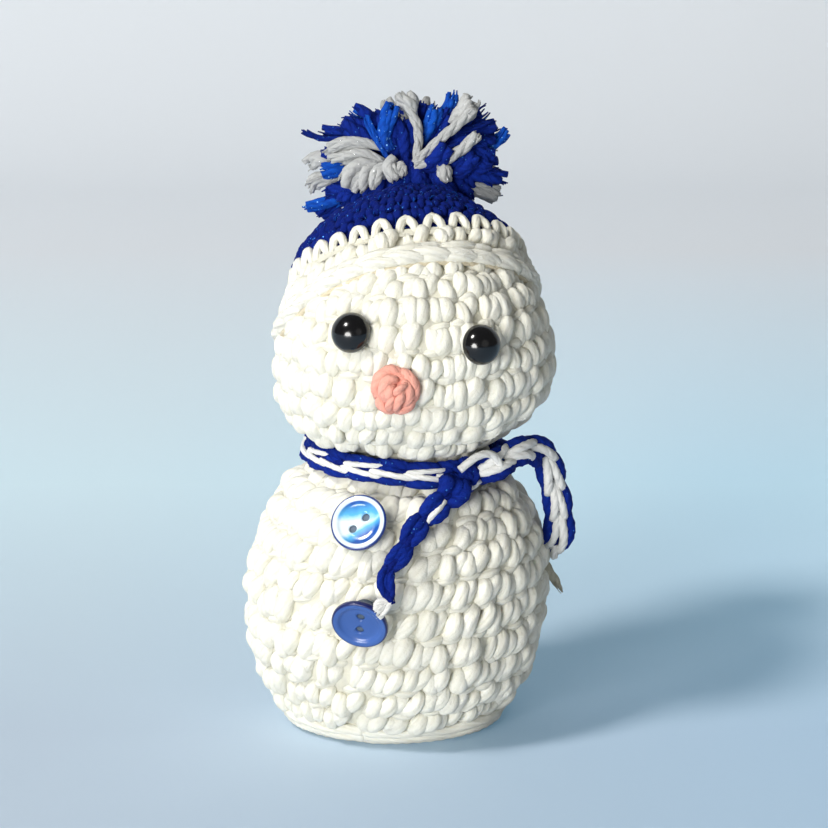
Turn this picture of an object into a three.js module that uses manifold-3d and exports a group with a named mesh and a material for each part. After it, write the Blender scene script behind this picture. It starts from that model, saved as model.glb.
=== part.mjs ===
// A crocheted snowman with a hat, a pompom and a tied scarf, in millimetres.
// Z is up, the buttons face -Y, and the origin is the centre of the flat base on the floor.
// Azimuth is the turn about Z from -Y towards +X, in degrees.

import * as THREE from "three";
import { mergeVertices } from "three/addons/utils/BufferGeometryUtils.js";
import Module from "manifold-3d";

const wasm = await Module();
wasm.setup();

// Clearances and fabric
const GAP = 0.3; // between pieces that touch
const FABRIC = 2.6; // thickness of the crocheted fabric
const ROUND = 3.7; // height of one crocheted round
const GROOVE = 0.55; // depth of the groove between two rounds
const SIDES = 20; // facets round the body, the head and the hat

// Body: a ball with a flat base, leaning to the viewer's right
const LEAN = 3.3; // degrees from upright
const BASE_RADIUS = 19.2;
const BODY_RADIUS = 30.4;
const BODY_WIDEST = 27; // height of the widest round
const NECK_HEIGHT = 57.6;
const NECK_RADIUS = 15;
const BASE_DISC_THICKNESS = 1.2;

// Head: a slightly flattened ball, turned and nodding on the neck
const HEAD_RADIUS = 28.4;
const HEAD_RISE = 27.2; // from its widest round to its top
const HEAD_DROP = 19.6; // from its widest round to the neck
const HAT_COVERS = 0.7 * HEAD_RISE; // above its widest round, from where the hat hides all of it
const HEAD_TURN = 13.2; // degrees, face direction
const HEAD_TILT = -0.8; // degrees, on top of the body's lean

// Eyes: a dome on a ribbed shank, locked by a washer
const EYE_DIAMETER = 8;
const EYE_DOME = 4.1;
const EYE_AZIMUTH = { left: -23.5, right: 30.5 }; // from the face direction
const EYE_HEIGHT = { left: 9.4, right: 8.1 }; // above the head's widest round
const EYE_SIDES = 14;
const SHANK_DIAMETER = 2.9;
const SHANK_LENGTH = 8.5;
const WASHER_DIAMETER = 9.5;
const WASHER_THICKNESS = 1.2;

// Nose: lobes of yarn round a ring
const NOSE_DIAMETER = 9.6;
const NOSE_DEPTH = 3.6;
const NOSE_LOBES = 6;
const NOSE_AZIMUTH = -3.5;
const NOSE_HEIGHT = -0.5;

// Hat: a white brim and a blue crown on one axis, pushed back and to one side
const HAT_BACK = 33.3; // degrees, away from the face
const HAT_SIDE = 14.1; // degrees, to the viewer's left
const HAT_RADIUS = 28.6; // outside of the hat round the head's centre, where it would be widest
const HAT_RISE = 33.6; // height at which the brim's outline would close
const HAT_FABRIC = 2.2; // worked tighter than the body
const BRIM_LOW = 9.6; // brim's lower edge, above the head's centre along the hat's axis
const BRIM_HIGH = 20.3; // colour change
const CROWN_HIGH = 36.5; // top of the crown
const CROWN_PAD = 1.4; // the crown's top is thicker than its sides by this share
const CROWN_SLUMP = 5.5; // how far the crown's top hangs over to the viewer's right
const BRIM_EDGE = 0.7; // the chain edge stands proud by this

// Pompom: cut strands tied in their middle
const POMPOM_STRANDS = 45;
const POMPOM_WIDTH_RADIUS = 23.5;
const POMPOM_HEIGHT_RADIUS = 14.8;
const POMPOM_LOPSIDED = 0.05; // longer on the viewer's right by this share
const POMPOM_SKIRT = 15; // degrees below level that the lowest strands point
const POMPOM_KNOT = 6.2; // radius of the packed middle
const STRAND_RADIUS = 1.55; // at its thickest
const TIE_RADIUS = 1.4;

// Buttons
const BUTTON_DIAMETER = 11.4;
const BUTTON_THICKNESS = 2.3;
const BUTTON_RIM = 1.6; // width of the raised rim
const BUTTON_DISH = 0.8; // depth of the dish inside the rim
const BUTTON_HOLE = 1.6;
const BUTTON_HOLE_PITCH = 3.3;
const GLUE_DIAMETER = 7;
// Each is placed by its distance below the neck and tilted off the body's slope, in degrees
const BUTTON_UPPER = { below: 9.4, azimuth: -3, tilt: -5.1, holes: 52, tiltLift: 0 };
const BUTTON_LOWER = { below: 25.3, azimuth: 2.6, tilt: -25.3, holes: 84, tiltLift: 0.4 };

// Scarf: a chain of two strands
const SCARF_WIDTH = 4.7;
const SCARF_THICKNESS = 3.7;
const SCARF_AZIMUTH = 50; // where the ends cross
const TAIL_DIAMETER = 4.2; // of the chain where it hangs
const TAIL_SIDES = 8;
const YARN_RADIUS = 0.9;

const rad = THREE.MathUtils.degToRad;
const { sin, cos, sqrt, PI, max, round } = Math;

// Finishes
const finish = (color, roughness) => new THREE.MeshStandardMaterial({ color, roughness, metalness: 0 });
const WHITE_YARN = finish(0xf6f4ea, 0.9);
const CREAM_YARN = finish(0xd8d2b8, 0.9);
const BLUE_YARN = finish(0x1a2fa6, 0.7);
const MIXED_YARN = finish(0x4a5cc0, 0.8);
const PINK_YARN = finish(0xf0a291, 0.9);
const FILLING = finish(0xfafafa, 1);
const BLACK_PLASTIC = finish(0x0a0a0c, 0.12);
const WASHER_PLASTIC = finish(0xe8e8e4, 0.5);
const PEARL_BUTTON = finish(0x3f86e0, 0.15);
const BLUE_BUTTON = finish(0x4a66bf, 0.35);
const CLEAR_GLUE = finish(0xe6e2d2, 0.3);
const CARD = finish(0xb89a72, 0.9);

// The frames that the pieces are placed in
const snowman = new THREE.Group();
const standing = new THREE.Group(); // leans with the body
standing.rotation.y = rad(LEAN);
const neckSpace = NECK_RADIUS * Math.abs(sin(rad(HEAD_TILT))) + GAP; // between the body's top and the head's bottom
const head = new THREE.Group(); // origin at the head's centre, face towards -Y
head.rotation.set(0, rad(HEAD_TILT), rad(HEAD_TURN), "YZX");
head.position.z = NECK_HEIGHT + neckSpace;
head.translateZ(HEAD_DROP);
const hat = new THREE.Group(); // origin at the head's centre, Z along the hat's axis
hat.rotation.set(-rad(HAT_BACK), -rad(HAT_SIDE), 0, "YXZ");
snowman.add(standing);
standing.add(head);
head.add(hat);
snowman.updateMatrixWorld(true);

/** Adds a named mesh to a frame. */
function addPiece(name, geometry, material, frame) {
  const mesh = new THREE.Mesh(geometry, material);
  mesh.name = name;
  frame.add(mesh);
}

/** A closed geometry as a solid for cutting and joining. */
function solidOf(geometry) {
  const plain = new THREE.BufferGeometry().setAttribute("position", geometry.getAttribute("position").clone());
  if (geometry.index) plain.setIndex(geometry.index.clone());
  const merged = mergeVertices(plain, 1e-4);
  const corners = merged.index.array;
  const kept = [];
  for (let i = 0; i < corners.length; i += 3) {
    const [a, b, c] = [corners[i], corners[i + 1], corners[i + 2]];
    if (a !== b && b !== c && c !== a) kept.push(a, b, c);
  }
  return new wasm.Manifold(
    new wasm.Mesh({
      numProp: 3,
      vertProperties: new Float32Array(merged.getAttribute("position").array),
      triVerts: new Uint32Array(kept),
    }),
  );
}

/** A cut or joined solid as a geometry. */
function geometryOf(solid) {
  const { vertProperties, triVerts } = solid.getMesh();
  const geometry = new THREE.BufferGeometry();
  geometry.setAttribute("position", new THREE.BufferAttribute(vertProperties, 3));
  geometry.setIndex(new THREE.BufferAttribute(triVerts, 1));
  geometry.computeVertexNormals();
  return geometry;
}

/** The same geometry, moved from one frame to another. */
function inFrame(geometry, from, to) {
  const move = to.matrixWorld.clone().invert().multiply(from.matrixWorld);
  return geometry.clone().applyMatrix4(move);
}

/** One geometry with others taken away. */
function cut(geometry, ...tools) {
  return geometryOf(tools.reduce((left, tool) => left.subtract(solidOf(tool)), solidOf(geometry)));
}

/** Overlapping geometries joined into one. */
function join(...geometries) {
  return geometryOf(geometries.map(solidOf).reduce((all, next) => all.add(next)));
}

/** A solid of revolution about Z from [radius, height] pairs, listed from the bottom up on the outside. */
function revolve(profile, sides = SIDES) {
  const points = profile.map(([radius, height]) => new THREE.Vector2(radius, height));
  return new THREE.LatheGeometry(points, sides).rotateX(PI / 2);
}

/** A closed rod through rings of points, each ring with the same number of points. */
function loft(rings) {
  const sides = rings[0].length;
  const vertices = rings.flat();
  const faces = [];
  for (let ring = 0; ring + 1 < rings.length; ring++) {
    for (let side = 0; side < sides; side++) {
      const a = ring * sides + side;
      const b = ring * sides + ((side + 1) % sides);
      faces.push(a, b, b + sides, a, b + sides, a + sides);
    }
  }
  const last = (rings.length - 1) * sides;
  for (let side = 1; side + 1 < sides; side++) {
    faces.push(0, side + 1, side, last, last + side, last + side + 1);
  }
  const geometry = new THREE.BufferGeometry().setFromPoints(vertices);
  geometry.setIndex(faces);
  return geometry;
}

/** A straight or bent rod: its ring centres, the radius at each, and how many sides. */
function rod(centres, radii, sides = 4) {
  const along = centres[centres.length - 1].clone().sub(centres[0]).normalize();
  const across = new THREE.Vector3(0.31, 0.87, 0.39).cross(along).normalize();
  const third = along.clone().cross(across);
  return loft(
    centres.map((centre, i) =>
      Array.from({ length: sides }, (_, side) => {
        const turn = (2 * PI * side) / sides;
        return centre
          .clone()
          .addScaledVector(across, radii[i] * cos(turn))
          .addScaledVector(third, radii[i] * sin(turn));
      }),
    ),
  );
}

/** A level direction by azimuth in degrees. */
const facing = (azimuth) => new THREE.Vector3(sin(rad(azimuth)), -cos(rad(azimuth)), 0);

/** A group that stands on a ball: its Z points along the given azimuth and pitch. */
function seat(frame, azimuth, height, radius, pitch) {
  const place = new THREE.Group();
  place.position.copy(facing(azimuth).multiplyScalar(radius)).setZ(height);
  place.rotation.set(PI / 2 - rad(pitch), 0, rad(azimuth), "ZXY");
  frame.add(place);
  place.updateMatrixWorld(true);
  return place;
}

// Outlines
const BASE_SWELL = 2.6;
const SHOULDER_SWELL = 3.5;
const JAW_SWELL = 3.3;
const SCALP_SWELL = 2.2;
const CROWN_SWELL = 1.6;

/** Radius of the body at a height, with the fabric peeled off by inset. */
function bodyRadius(height, inset = 0) {
  const widest = BODY_RADIUS - inset;
  if (height < BODY_WIDEST) {
    return widest - (BODY_RADIUS - BASE_RADIUS) * (1 - height / BODY_WIDEST) ** BASE_SWELL;
  }
  const rise = (height - BODY_WIDEST) / (NECK_HEIGHT - BODY_WIDEST);
  return widest - (BODY_RADIUS - NECK_RADIUS) * rise ** SHOULDER_SWELL;
}

/** Radius of the head at a height over its centre, with the fabric peeled off by inset. */
function headRadius(height, inset = 0) {
  const widest = HEAD_RADIUS - inset;
  if (height < 0) return widest - (HEAD_RADIUS - NECK_RADIUS) * (-height / HEAD_DROP) ** JAW_SWELL;
  const rise = height / (HEAD_RISE - inset);
  return widest * max(0, 1 - rise ** SCALP_SWELL) ** (1 / SCALP_SWELL);
}

/** Slope of an outline at a height, as the pitch of its surface in degrees. */
function pitchOf(radiusAt, height) {
  const step = 0.05;
  return THREE.MathUtils.radToDeg(Math.atan2(radiusAt(height - step) - radiusAt(height + step), 2 * step));
}

/** Points along an outline from low to high, evenly spaced by length. */
function outline(radiusAt, low, high, count) {
  const fine = [];
  const samples = 240;
  for (let i = 0; i <= samples; i++) {
    // Heights crowd towards the top, where the outline runs level
    const height = low + (high - low) * sin((PI / 2) * (i / samples));
    fine.push([max(0, radiusAt(height)), height]);
  }
  const length = [0];
  for (let i = 1; i < fine.length; i++) {
    length.push(length[i - 1] + Math.hypot(fine[i][0] - fine[i - 1][0], fine[i][1] - fine[i - 1][1]));
  }
  const total = length[samples];
  const points = [];
  for (let i = 0, at = 0; i <= count; i++) {
    const wanted = (total * i) / count;
    while (at < samples - 1 && length[at + 1] < wanted) at++;
    const share = (wanted - length[at]) / (length[at + 1] - length[at]);
    points.push([0, 1].map((k) => fine[at][k] + share * (fine[at + 1][k] - fine[at][k])));
  }
  return { points, total };
}

/** An outline worked in rounds: every other point sinks by the groove's depth. */
function worked(radiusAt, low, high) {
  const rounds = round(outline(radiusAt, low, high, 1).total / ROUND);
  const { points } = outline(radiusAt, low, high, 2 * rounds);
  return points.map(([radius, height], i) => [i % 2 ? radius : max(0, radius - GROOVE), height]);
}

/** The body's own ball, swollen or peeled, closed by level ends. */
function bodyBall(inset, low, high, count) {
  const { points } = outline((height) => bodyRadius(height, inset), low, high, count);
  return revolve([[0, low], ...points, [0, high]]);
}

/** The head's own ball, swollen or peeled, closed by a level end at the neck. */
function headBall(inset, low, count) {
  const { points } = outline((height) => headRadius(height, inset), low, HEAD_RISE - inset, count);
  return revolve([[0, low], ...points]);
}

/** A slab of floor up to a height, to cut the leaning body level. */
function floorSlab(top) {
  const size = 4 * BODY_RADIUS;
  return new THREE.BoxGeometry(size, size, size).translate(0, 0, top - size / 2);
}

// Height that the leaning base reaches below its centre
const baseDip = (BASE_RADIUS + FABRIC) * sin(rad(LEAN));

/** The body's crocheted cover, open at the neck and cut level at the floor. */
function bodyCover() {
  const rounds = worked(bodyRadius, -baseDip, NECK_HEIGHT);
  const ball = revolve([[0, -baseDip], ...rounds, [0, NECK_HEIGHT]]);
  const hollow = cut(
    bodyBall(FABRIC, 0, NECK_HEIGHT + FABRIC, 9),
    inFrame(floorSlab(FABRIC), snowman, standing),
  );
  return cut(ball, inFrame(floorSlab(0), snowman, standing), hollow);
}

const discTop = FABRIC + GAP + BASE_DISC_THICKNESS;

/** The stiff disc that keeps the base flat, just above the cover's floor. */
function baseDisc() {
  const floor = FABRIC + GAP;
  const radius = bodyRadius(FABRIC, FABRIC) - 3 * GAP - discTop * sin(rad(LEAN));
  return revolve([[0, floor], [radius, floor], [radius, discTop], [0, discTop]]);
}

/** The filling inside the body. */
function bodyStuffing() {
  const filling = bodyBall(FABRIC + 2 * GAP, 0, NECK_HEIGHT - GAP, 9);
  return cut(filling, inFrame(floorSlab(discTop + GAP), snowman, standing));
}

/** Where an eye sits: its frame's Z points out of the head. */
function eyeSeat(azimuth, height) {
  return seat(head, azimuth, height, headRadius(height), pitchOf(headRadius, height));
}
const eyeSeats = {
  eye_left: eyeSeat(EYE_AZIMUTH.left, EYE_HEIGHT.left),
  eye_right: eyeSeat(EYE_AZIMUTH.right, EYE_HEIGHT.right),
};

/** An eye's dome and its shank with locking ribs, behind its seat. */
function eye() {
  const radius = EYE_DIAMETER / 2;
  const lip = GAP + 0.8;
  const shank = SHANK_DIAMETER / 2;
  const core = shank - 0.35;
  const profile = [[0, -SHANK_LENGTH], [core, -SHANK_LENGTH]];
  const ribs = 2;
  const pitch = (SHANK_LENGTH - FABRIC - 1) / ribs;
  for (let rib = 0; rib < ribs; rib++) {
    const foot = -SHANK_LENGTH + 0.4 + rib * pitch;
    profile.push([core, foot], [shank, foot + pitch * 0.6], [core, foot + pitch * 0.62]);
  }
  profile.push([shank, -FABRIC - 0.4], [shank, GAP], [radius - 0.5, GAP], [radius, lip]);
  const steps = 5;
  for (let i = 1; i <= steps; i++) {
    const turn = (PI / 2) * (i / steps);
    profile.push([radius * cos(turn), lip + (EYE_DOME - lip) * sin(turn)]);
  }
  return revolve(profile, EYE_SIDES);
}

// The washer is flat and the fabric curves, so its rim would touch before its middle
const washerSink = HEAD_RADIUS - FABRIC - sqrt((HEAD_RADIUS - FABRIC) ** 2 - (WASHER_DIAMETER / 2) ** 2);

/** The washer on a shank, behind the fabric. */
function eyeWasher() {
  const bore = SHANK_DIAMETER / 2 + 0.1;
  const outer = WASHER_DIAMETER / 2;
  const front = -FABRIC - 3 * GAP - washerSink;
  const back = front - WASHER_THICKNESS;
  const collar = bore + 1;
  return revolve(
    [[bore, back - 0.8], [collar, back - 0.8], [collar, back], [outer, back], [outer, front], [bore, front],
      [bore, back - 0.8]],
    EYE_SIDES,
  );
}

/** A plain bored space, to keep fabric and filling clear of something round. */
function clearance(radius, low, high) {
  return revolve([[0, low], [radius, low], [radius, high], [0, high]], 12);
}

/** Everything outside the hat's lining and above the brim's edge, where the hat presses the soft head in. */
function hatRoom(inset) {
  const low = BRIM_LOW - GAP - inset;
  const far = 2 * HEAD_RADIUS;
  const block = revolve([[0, low], [far, low], [far, far], [0, far]]);
  return inFrame(cut(block, hatLining(GAP + inset, low - GAP)), hat, head);
}

/** The head's crocheted cover, open at the neck, pressed in under the hat and pierced for the eyes. */
function headCover() {
  const rounds = worked(headRadius, -HEAD_DROP, HEAD_RISE).filter(([, height]) => height < HAT_COVERS);
  const { points } = outline(headRadius, HAT_COVERS, HEAD_RISE, 4);
  const ball = revolve([[0, -HEAD_DROP], ...rounds, ...points]);
  const hollow = cut(headBall(FABRIC, -HEAD_DROP - FABRIC, 9), hatRoom(FABRIC));
  const bores = Object.values(eyeSeats).map((place) =>
    inFrame(clearance(SHANK_DIAMETER / 2 + GAP, -2 * FABRIC, 2 * FABRIC), place, head),
  );
  return cut(ball, hatRoom(0), hollow, ...bores);
}

/** The filling inside the head, with room for the washers and shanks. */
function headStuffing() {
  const peel = FABRIC + 2 * GAP;
  const room = Object.values(eyeSeats).map((place) =>
    inFrame(clearance(WASHER_DIAMETER / 2 + GAP, -SHANK_LENGTH - GAP, FABRIC), place, head),
  );
  return cut(headBall(peel, -HEAD_DROP + GAP, 9), hatRoom(peel), ...room);
}

/** The yarn that joins the head to the body, pressed between both. */
function neckSeam() {
  const middle = NECK_HEIGHT + neckSpace / 2;
  const ring = [];
  const points = 8;
  for (let i = 0; i <= points; i++) {
    const turn = (2 * PI * i) / points;
    ring.push([NECK_RADIUS + 1.5 * YARN_RADIUS * sin(turn), middle - 1.5 * YARN_RADIUS * cos(turn)]);
  }
  const belowNeck = bodyBall(-GAP, NECK_HEIGHT / 2, NECK_HEIGHT + GAP / 2, 8);
  return cut(revolve(ring), belowNeck, inFrame(headBall(-GAP, -HEAD_DROP - GAP / 2, 16), head, standing));
}

/** The nose: lobes round a ring, with a dimple in the middle. */
function nose() {
  const lobe = NOSE_DIAMETER / 4;
  const lobes = Array.from({ length: NOSE_LOBES }, (_, i) => {
    const turn = (2 * PI * i) / NOSE_LOBES;
    const reach = NOSE_DIAMETER / 2 - lobe;
    return new THREE.SphereGeometry(lobe * 1.02, 8, 6)
      .scale(1, 1, NOSE_DEPTH / (2 * lobe) + 0.2)
      .translate(reach * cos(turn), reach * sin(turn), NOSE_DEPTH / 3);
  });
  const dimple = new THREE.SphereGeometry(0.8, 8, 6).translate(0.4, 0.4, NOSE_DEPTH + 0.1);
  return cut(join(...lobes), dimple);
}

/** Outside radius of the hat at a height along its axis, with the fabric peeled off by inset. */
function hatRadius(height, inset = 0) {
  const ballRadius = (at) => (HAT_RADIUS - inset) * sqrt(1 - (at / (HAT_RISE - inset)) ** 2);
  if (height < BRIM_HIGH) return ballRadius(height);
  const rise = (height - BRIM_HIGH) / (CROWN_HIGH - CROWN_PAD * inset - BRIM_HIGH);
  return ballRadius(BRIM_HIGH) * max(0, 1 - rise ** CROWN_SWELL) ** (1 / CROWN_SWELL);
}

/** The space inside the hat, peeled further by inset, from a height up. */
function hatLining(inset, low) {
  const peel = HAT_FABRIC + inset;
  const top = CROWN_HIGH - CROWN_PAD * peel;
  const { points } = outline((height) => hatRadius(height, peel), low, top, 8);
  return slump(revolve([[0, low], ...points]));
}

/** The hat's white band, worked in rounds, with a chain along its lower edge. */
function hatBrim() {
  const top = BRIM_HIGH - GAP / 2;
  const rounds = worked(hatRadius, BRIM_LOW, top);
  rounds[1][0] += BRIM_EDGE;
  return cut(revolve([[0, BRIM_LOW], ...rounds, [0, top]]), hatLining(0, BRIM_LOW - GAP));
}

/** Lets a geometry's top hang over towards +X. */
function slump(geometry) {
  const position = geometry.getAttribute("position");
  for (let i = 0; i < position.count; i++) {
    const rise = (position.getZ(i) - BRIM_HIGH) / (CROWN_HIGH - BRIM_HIGH);
    position.setX(i, position.getX(i) + CROWN_SLUMP * max(0, rise) ** 2);
  }
  return geometry;
}

/** The hat's blue crown over the head, with a hole at its top for the pompom's tie. */
function hatCrown() {
  const low = BRIM_HIGH + GAP / 2;
  const rounds = worked(hatRadius, low, CROWN_HIGH);
  const dome = slump(revolve([[0, low], ...rounds.slice(0, -1), [0, CROWN_HIGH]]));
  const hole = clearance(TIE_RADIUS + GAP, CROWN_HIGH - FABRIC, CROWN_HIGH + FABRIC).translate(CROWN_SLUMP, 0, 0);
  return cut(dome, hatLining(0, BRIM_LOW - GAP), hole);
}

// The pompom's middle, over the crown's top
const pompomCentre = new THREE.Vector3(CROWN_SLUMP, 0, CROWN_HIGH + GAP + POMPOM_KNOT);
const whiteKnot = POMPOM_KNOT / 2;

/** Directions of the pompom's strands, spread evenly from the top down to the skirt. */
function strandDirections() {
  const golden = PI * (3 - sqrt(5));
  const reach = 1 + sin(rad(POMPOM_SKIRT));
  return Array.from({ length: POMPOM_STRANDS }, (_, i) => {
    const up = 1 - (reach * (i + 0.5)) / POMPOM_STRANDS;
    const out = sqrt(1 - up * up);
    return new THREE.Vector3(out * cos(golden * i), out * sin(golden * i), up);
  });
}

/** One strand from the pompom's middle outward, thin inside and puffy before its cut end. */
function strand({ direction, index }, from, extra = 0) {
  const uneven = 0.88 + 0.12 * sin(index * 2.4) ** 2 + POMPOM_LOPSIDED * direction.x;
  const side = Math.hypot(direction.x, direction.y) / POMPOM_WIDTH_RADIUS;
  const reach = uneven / Math.hypot(side, direction.z / POMPOM_HEIGHT_RADIUS);
  const at = (distance) => pompomCentre.clone().addScaledVector(direction, distance);
  const thick = STRAND_RADIUS + extra;
  return rod([from, reach * 0.8, reach].map(at), [0.28 * STRAND_RADIUS + extra, thick, 0.75 * thick]);
}

const strands = strandDirections().map((direction, index) => ({ direction, index }));
const whiteStrands = strands.filter(({ index }) => index % 3 === 1);
const blueStrands = strands.filter(({ index }) => index % 3 !== 1);

/** A ball of packed yarn at the pompom's middle. */
function knotBall(radius) {
  return new THREE.SphereGeometry(radius, 10, 6).translate(pompomCentre.x, pompomCentre.y, pompomCentre.z);
}

/** The white strands, joined at the very middle. */
function pompomWhite() {
  return join(knotBall(whiteKnot), ...whiteStrands.map((each) => strand(each, whiteKnot - 1)));
}

/** The blue strands, joined by a packed shell that the white strands pass through. */
function pompomBlue() {
  const bundle = join(knotBall(POMPOM_KNOT), ...blueStrands.map((each) => strand(each, POMPOM_KNOT - 1)));
  const passages = whiteStrands.map((each) => strand(each, whiteKnot - 1, 1.4 * GAP));
  return cut(bundle, knotBall(whiteKnot + GAP), ...passages);
}

/** The yarn that fastens the pompom, in the crown's top hole. */
function pompomTie() {
  const low = CROWN_HIGH - FABRIC + GAP;
  const high = CROWN_HIGH;
  return revolve(
    [[0, low], [TIE_RADIUS, low + 0.4], [TIE_RADIUS, high - 0.5], [TIE_RADIUS * 0.7, high], [0, high]],
    12,
  ).translate(CROWN_SLUMP, 0, 0);
}

/** A two-hole button with a raised rim; its back is level with its frame's origin. */
function button(holeTurn) {
  const radius = BUTTON_DIAMETER / 2;
  const dish = BUTTON_THICKNESS - BUTTON_DISH;
  const edge = 0.5;
  const body = revolve(
    [
      [0, 0],
      [radius - 1.5, 0],
      [radius, BUTTON_THICKNESS - 1.2],
      [radius, BUTTON_THICKNESS - edge],
      [radius - edge, BUTTON_THICKNESS],
      [radius - BUTTON_RIM + edge, BUTTON_THICKNESS],
      [radius - BUTTON_RIM, dish + edge],
      [radius - BUTTON_RIM - edge, dish],
      [0, dish],
    ],
    20,
  );
  const holes = [-0.5, 0.5].map((side) =>
    clearance(BUTTON_HOLE / 2, -1, BUTTON_THICKNESS + 1)
      .translate(side * BUTTON_HOLE_PITCH, 0, 0)
      .rotateZ(rad(holeTurn)),
  );
  return cut(body, ...holes);
}

/** How far a tilted button stands off, so that its lowest rim point clears the fabric. */
function buttonLift(place) {
  return GAP + place.tiltLift + (BUTTON_DIAMETER / 2 - 1.5) * Math.abs(sin(rad(place.tilt)));
}

/** A frame on the body for a button, its Z out of the button's face. */
function buttonSeat(place) {
  const height = NECK_HEIGHT - place.below;
  const lift = buttonLift(place);
  const pitch = pitchOf(bodyRadius, height) + place.tilt;
  return seat(
    standing,
    place.azimuth,
    height + lift * sin(rad(pitch)),
    bodyRadius(height) + lift * cos(rad(pitch)),
    pitch,
  );
}

/** The dab of glue under a button, moulded to the fabric. */
function buttonGlue(place, frame) {
  const depth = buttonLift(place) + 1;
  const dab = clearance(GLUE_DIAMETER / 2, -depth - 1, -GAP);
  const fabric = inFrame(bodyBall(-GAP, BODY_WIDEST / 2, NECK_HEIGHT, 14), standing, frame);
  return cut(dab, fabric);
}

/** Radius of the scarf's ring at which its oval section clears the shoulders and the jaw. */
function scarfRadius(middle) {
  let radius = 0;
  const steps = 24;
  const jawDrop = (HEAD_RADIUS + NECK_RADIUS) / 2 * Math.abs(sin(rad(HEAD_TILT)));
  for (let i = 0; i <= steps; i++) {
    const turn = PI * (i / steps - 0.5);
    const height = middle + (SCARF_WIDTH / 2) * sin(turn);
    const half = (SCARF_THICKNESS / 2) * cos(turn);
    const jawHeight = height + jawDrop - NECK_HEIGHT - neckSpace - HEAD_DROP;
    const shoulder = height < NECK_HEIGHT ? bodyRadius(height) : NECK_RADIUS;
    radius = max(radius, shoulder + half + GAP, headRadius(max(jawHeight, -HEAD_DROP)) + half + GAP);
  }
  return radius;
}

const scarfHeight = NECK_HEIGHT + neckSpace / 2 - 0.4;
const scarfRing = scarfRadius(scarfHeight);

/** The oval ring that the chain makes round the neck, swollen by extra. */
function scarfWrap(extra = 0) {
  const profile = [];
  const points = 10;
  for (let i = 0; i <= points; i++) {
    const turn = (2 * PI * i) / points;
    profile.push([
      scarfRing + (SCARF_THICKNESS / 2 + extra) * sin(turn),
      scarfHeight - (SCARF_WIDTH / 2 + extra) * cos(turn),
    ]);
  }
  return revolve(profile, 24);
}

/** The crossing of both ends: two short lengths of chain over each other, outside the ring. */
function scarfKnot() {
  const out = facing(SCARF_AZIMUTH).multiplyScalar(scarfRing + SCARF_THICKNESS / 2);
  const lobes = [-38, 32].map((turn) =>
    new THREE.SphereGeometry(1, 10, 8)
      .scale(SCARF_WIDTH * 1.05, SCARF_THICKNESS * 0.62, SCARF_WIDTH * 0.55)
      .rotateY(rad(turn))
      .rotateZ(rad(SCARF_AZIMUTH))
      .translate(out.x, out.y, scarfHeight),
  );
  const shoulders = bodyBall(-GAP, BODY_WIDEST, NECK_HEIGHT + GAP, 12);
  const jaw = inFrame(headBall(-GAP, -HEAD_DROP - GAP, 20), head, standing);
  return cut(join(...lobes), scarfWrap(GAP), shoulders, jaw);
}

// Routes of the hanging ends, from the knot outward. Each point is an azimuth in degrees,
// a distance below the neck and a distance off the body's surface.
const FRONT_TAIL_ROUTE = [
  [38.9, 2.0, 5.6],
  [31.8, 3.8, 4.3],
  [24.6, 6.3, 3.1],
  [19.1, 9.1, 2.9],
  [15.9, 12.0, 2.9],
  [12.5, 14.9, 3.1],
  [11.1, 17.8, 3.1],
];
const FRONT_TUFT_ROUTE = [
  [10.9, 18.4, 3.2],
  [11.7, 23.9, 3.0],
];
const SIDE_TAIL_ROUTE = [
  [62.4, -2.1, 9.2],
  [72.7, -3.5, 9.9],
  [83.4, -3.9, 11.3],
  [91.4, -2.8, 13.2],
  [96.9, -0.4, 15.1],
  [100.3, 3.5, 11.5],
  [102.3, 8.3, 7.7],
  [104.1, 13.1, 5.4],
  [105.6, 18.3, 3.7],
];
const SIDE_TUFT_ROUTE = [
  [105.8, 19.3, 3.6],
  [107.9, 23.7, 0.9],
];
const YARN_TAIL_ROUTE = [
  [117.2, 26.6, 0.7],
  [117.4, 28.1, 2.7],
  [118.2, 29.8, 4.1],
  [119.4, 32.2, 5.4],
];

/** A route's points in the body's leaning frame. */
function offBody(route) {
  return route.map(([azimuth, below, lift]) => {
    const height = NECK_HEIGHT - below;
    const surface = below > 0 ? bodyRadius(height) : NECK_RADIUS;
    return facing(azimuth).multiplyScalar(surface + lift).setZ(height);
  });
}

/** A round tube along a route. */
function chain(route) {
  const path = new THREE.CatmullRomCurve3(offBody(route));
  const section = new THREE.Shape();
  section.absarc(0, 0, TAIL_DIAMETER / 2, 0, 2 * PI);
  return new THREE.ExtrudeGeometry(section, {
    extrudePath: path,
    steps: round(path.getLength() / (0.6 * TAIL_DIAMETER)),
    curveSegments: TAIL_SIDES / 2,
    bevelEnabled: false,
  });
}

/** Frayed yarn: thin strands that spread from a short stub along a route of two points. */
function frayedEnd(route, strands) {
  const [start, end] = offBody(route);
  const along = end.clone().sub(start).normalize();
  const length = start.distanceTo(end);
  const across = new THREE.Vector3(0, 0, 1).cross(along).normalize();
  const third = along.clone().cross(across);
  const stub = rod(
    [start, start.clone().addScaledVector(along, 1.4)],
    [1.3 * YARN_RADIUS, 1.5 * YARN_RADIUS],
    8,
  );
  const hairs = Array.from({ length: strands }, (_, i) => {
    const turn = (2 * PI * i) / strands;
    const side = across.clone().multiplyScalar(cos(turn)).addScaledVector(third, sin(turn));
    const root = start.clone().addScaledVector(along, 1).addScaledVector(side, 0.7 * YARN_RADIUS);
    const reach = length * (0.8 + 0.2 * cos(3 * i));
    const tip = start.clone().addScaledVector(along, reach).addScaledVector(side, 0.34 * reach);
    return rod([root, root.clone().lerp(tip, 0.6), tip], [0.4, 0.5, 0.15]);
  });
  return join(stub, ...hairs);
}

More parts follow.
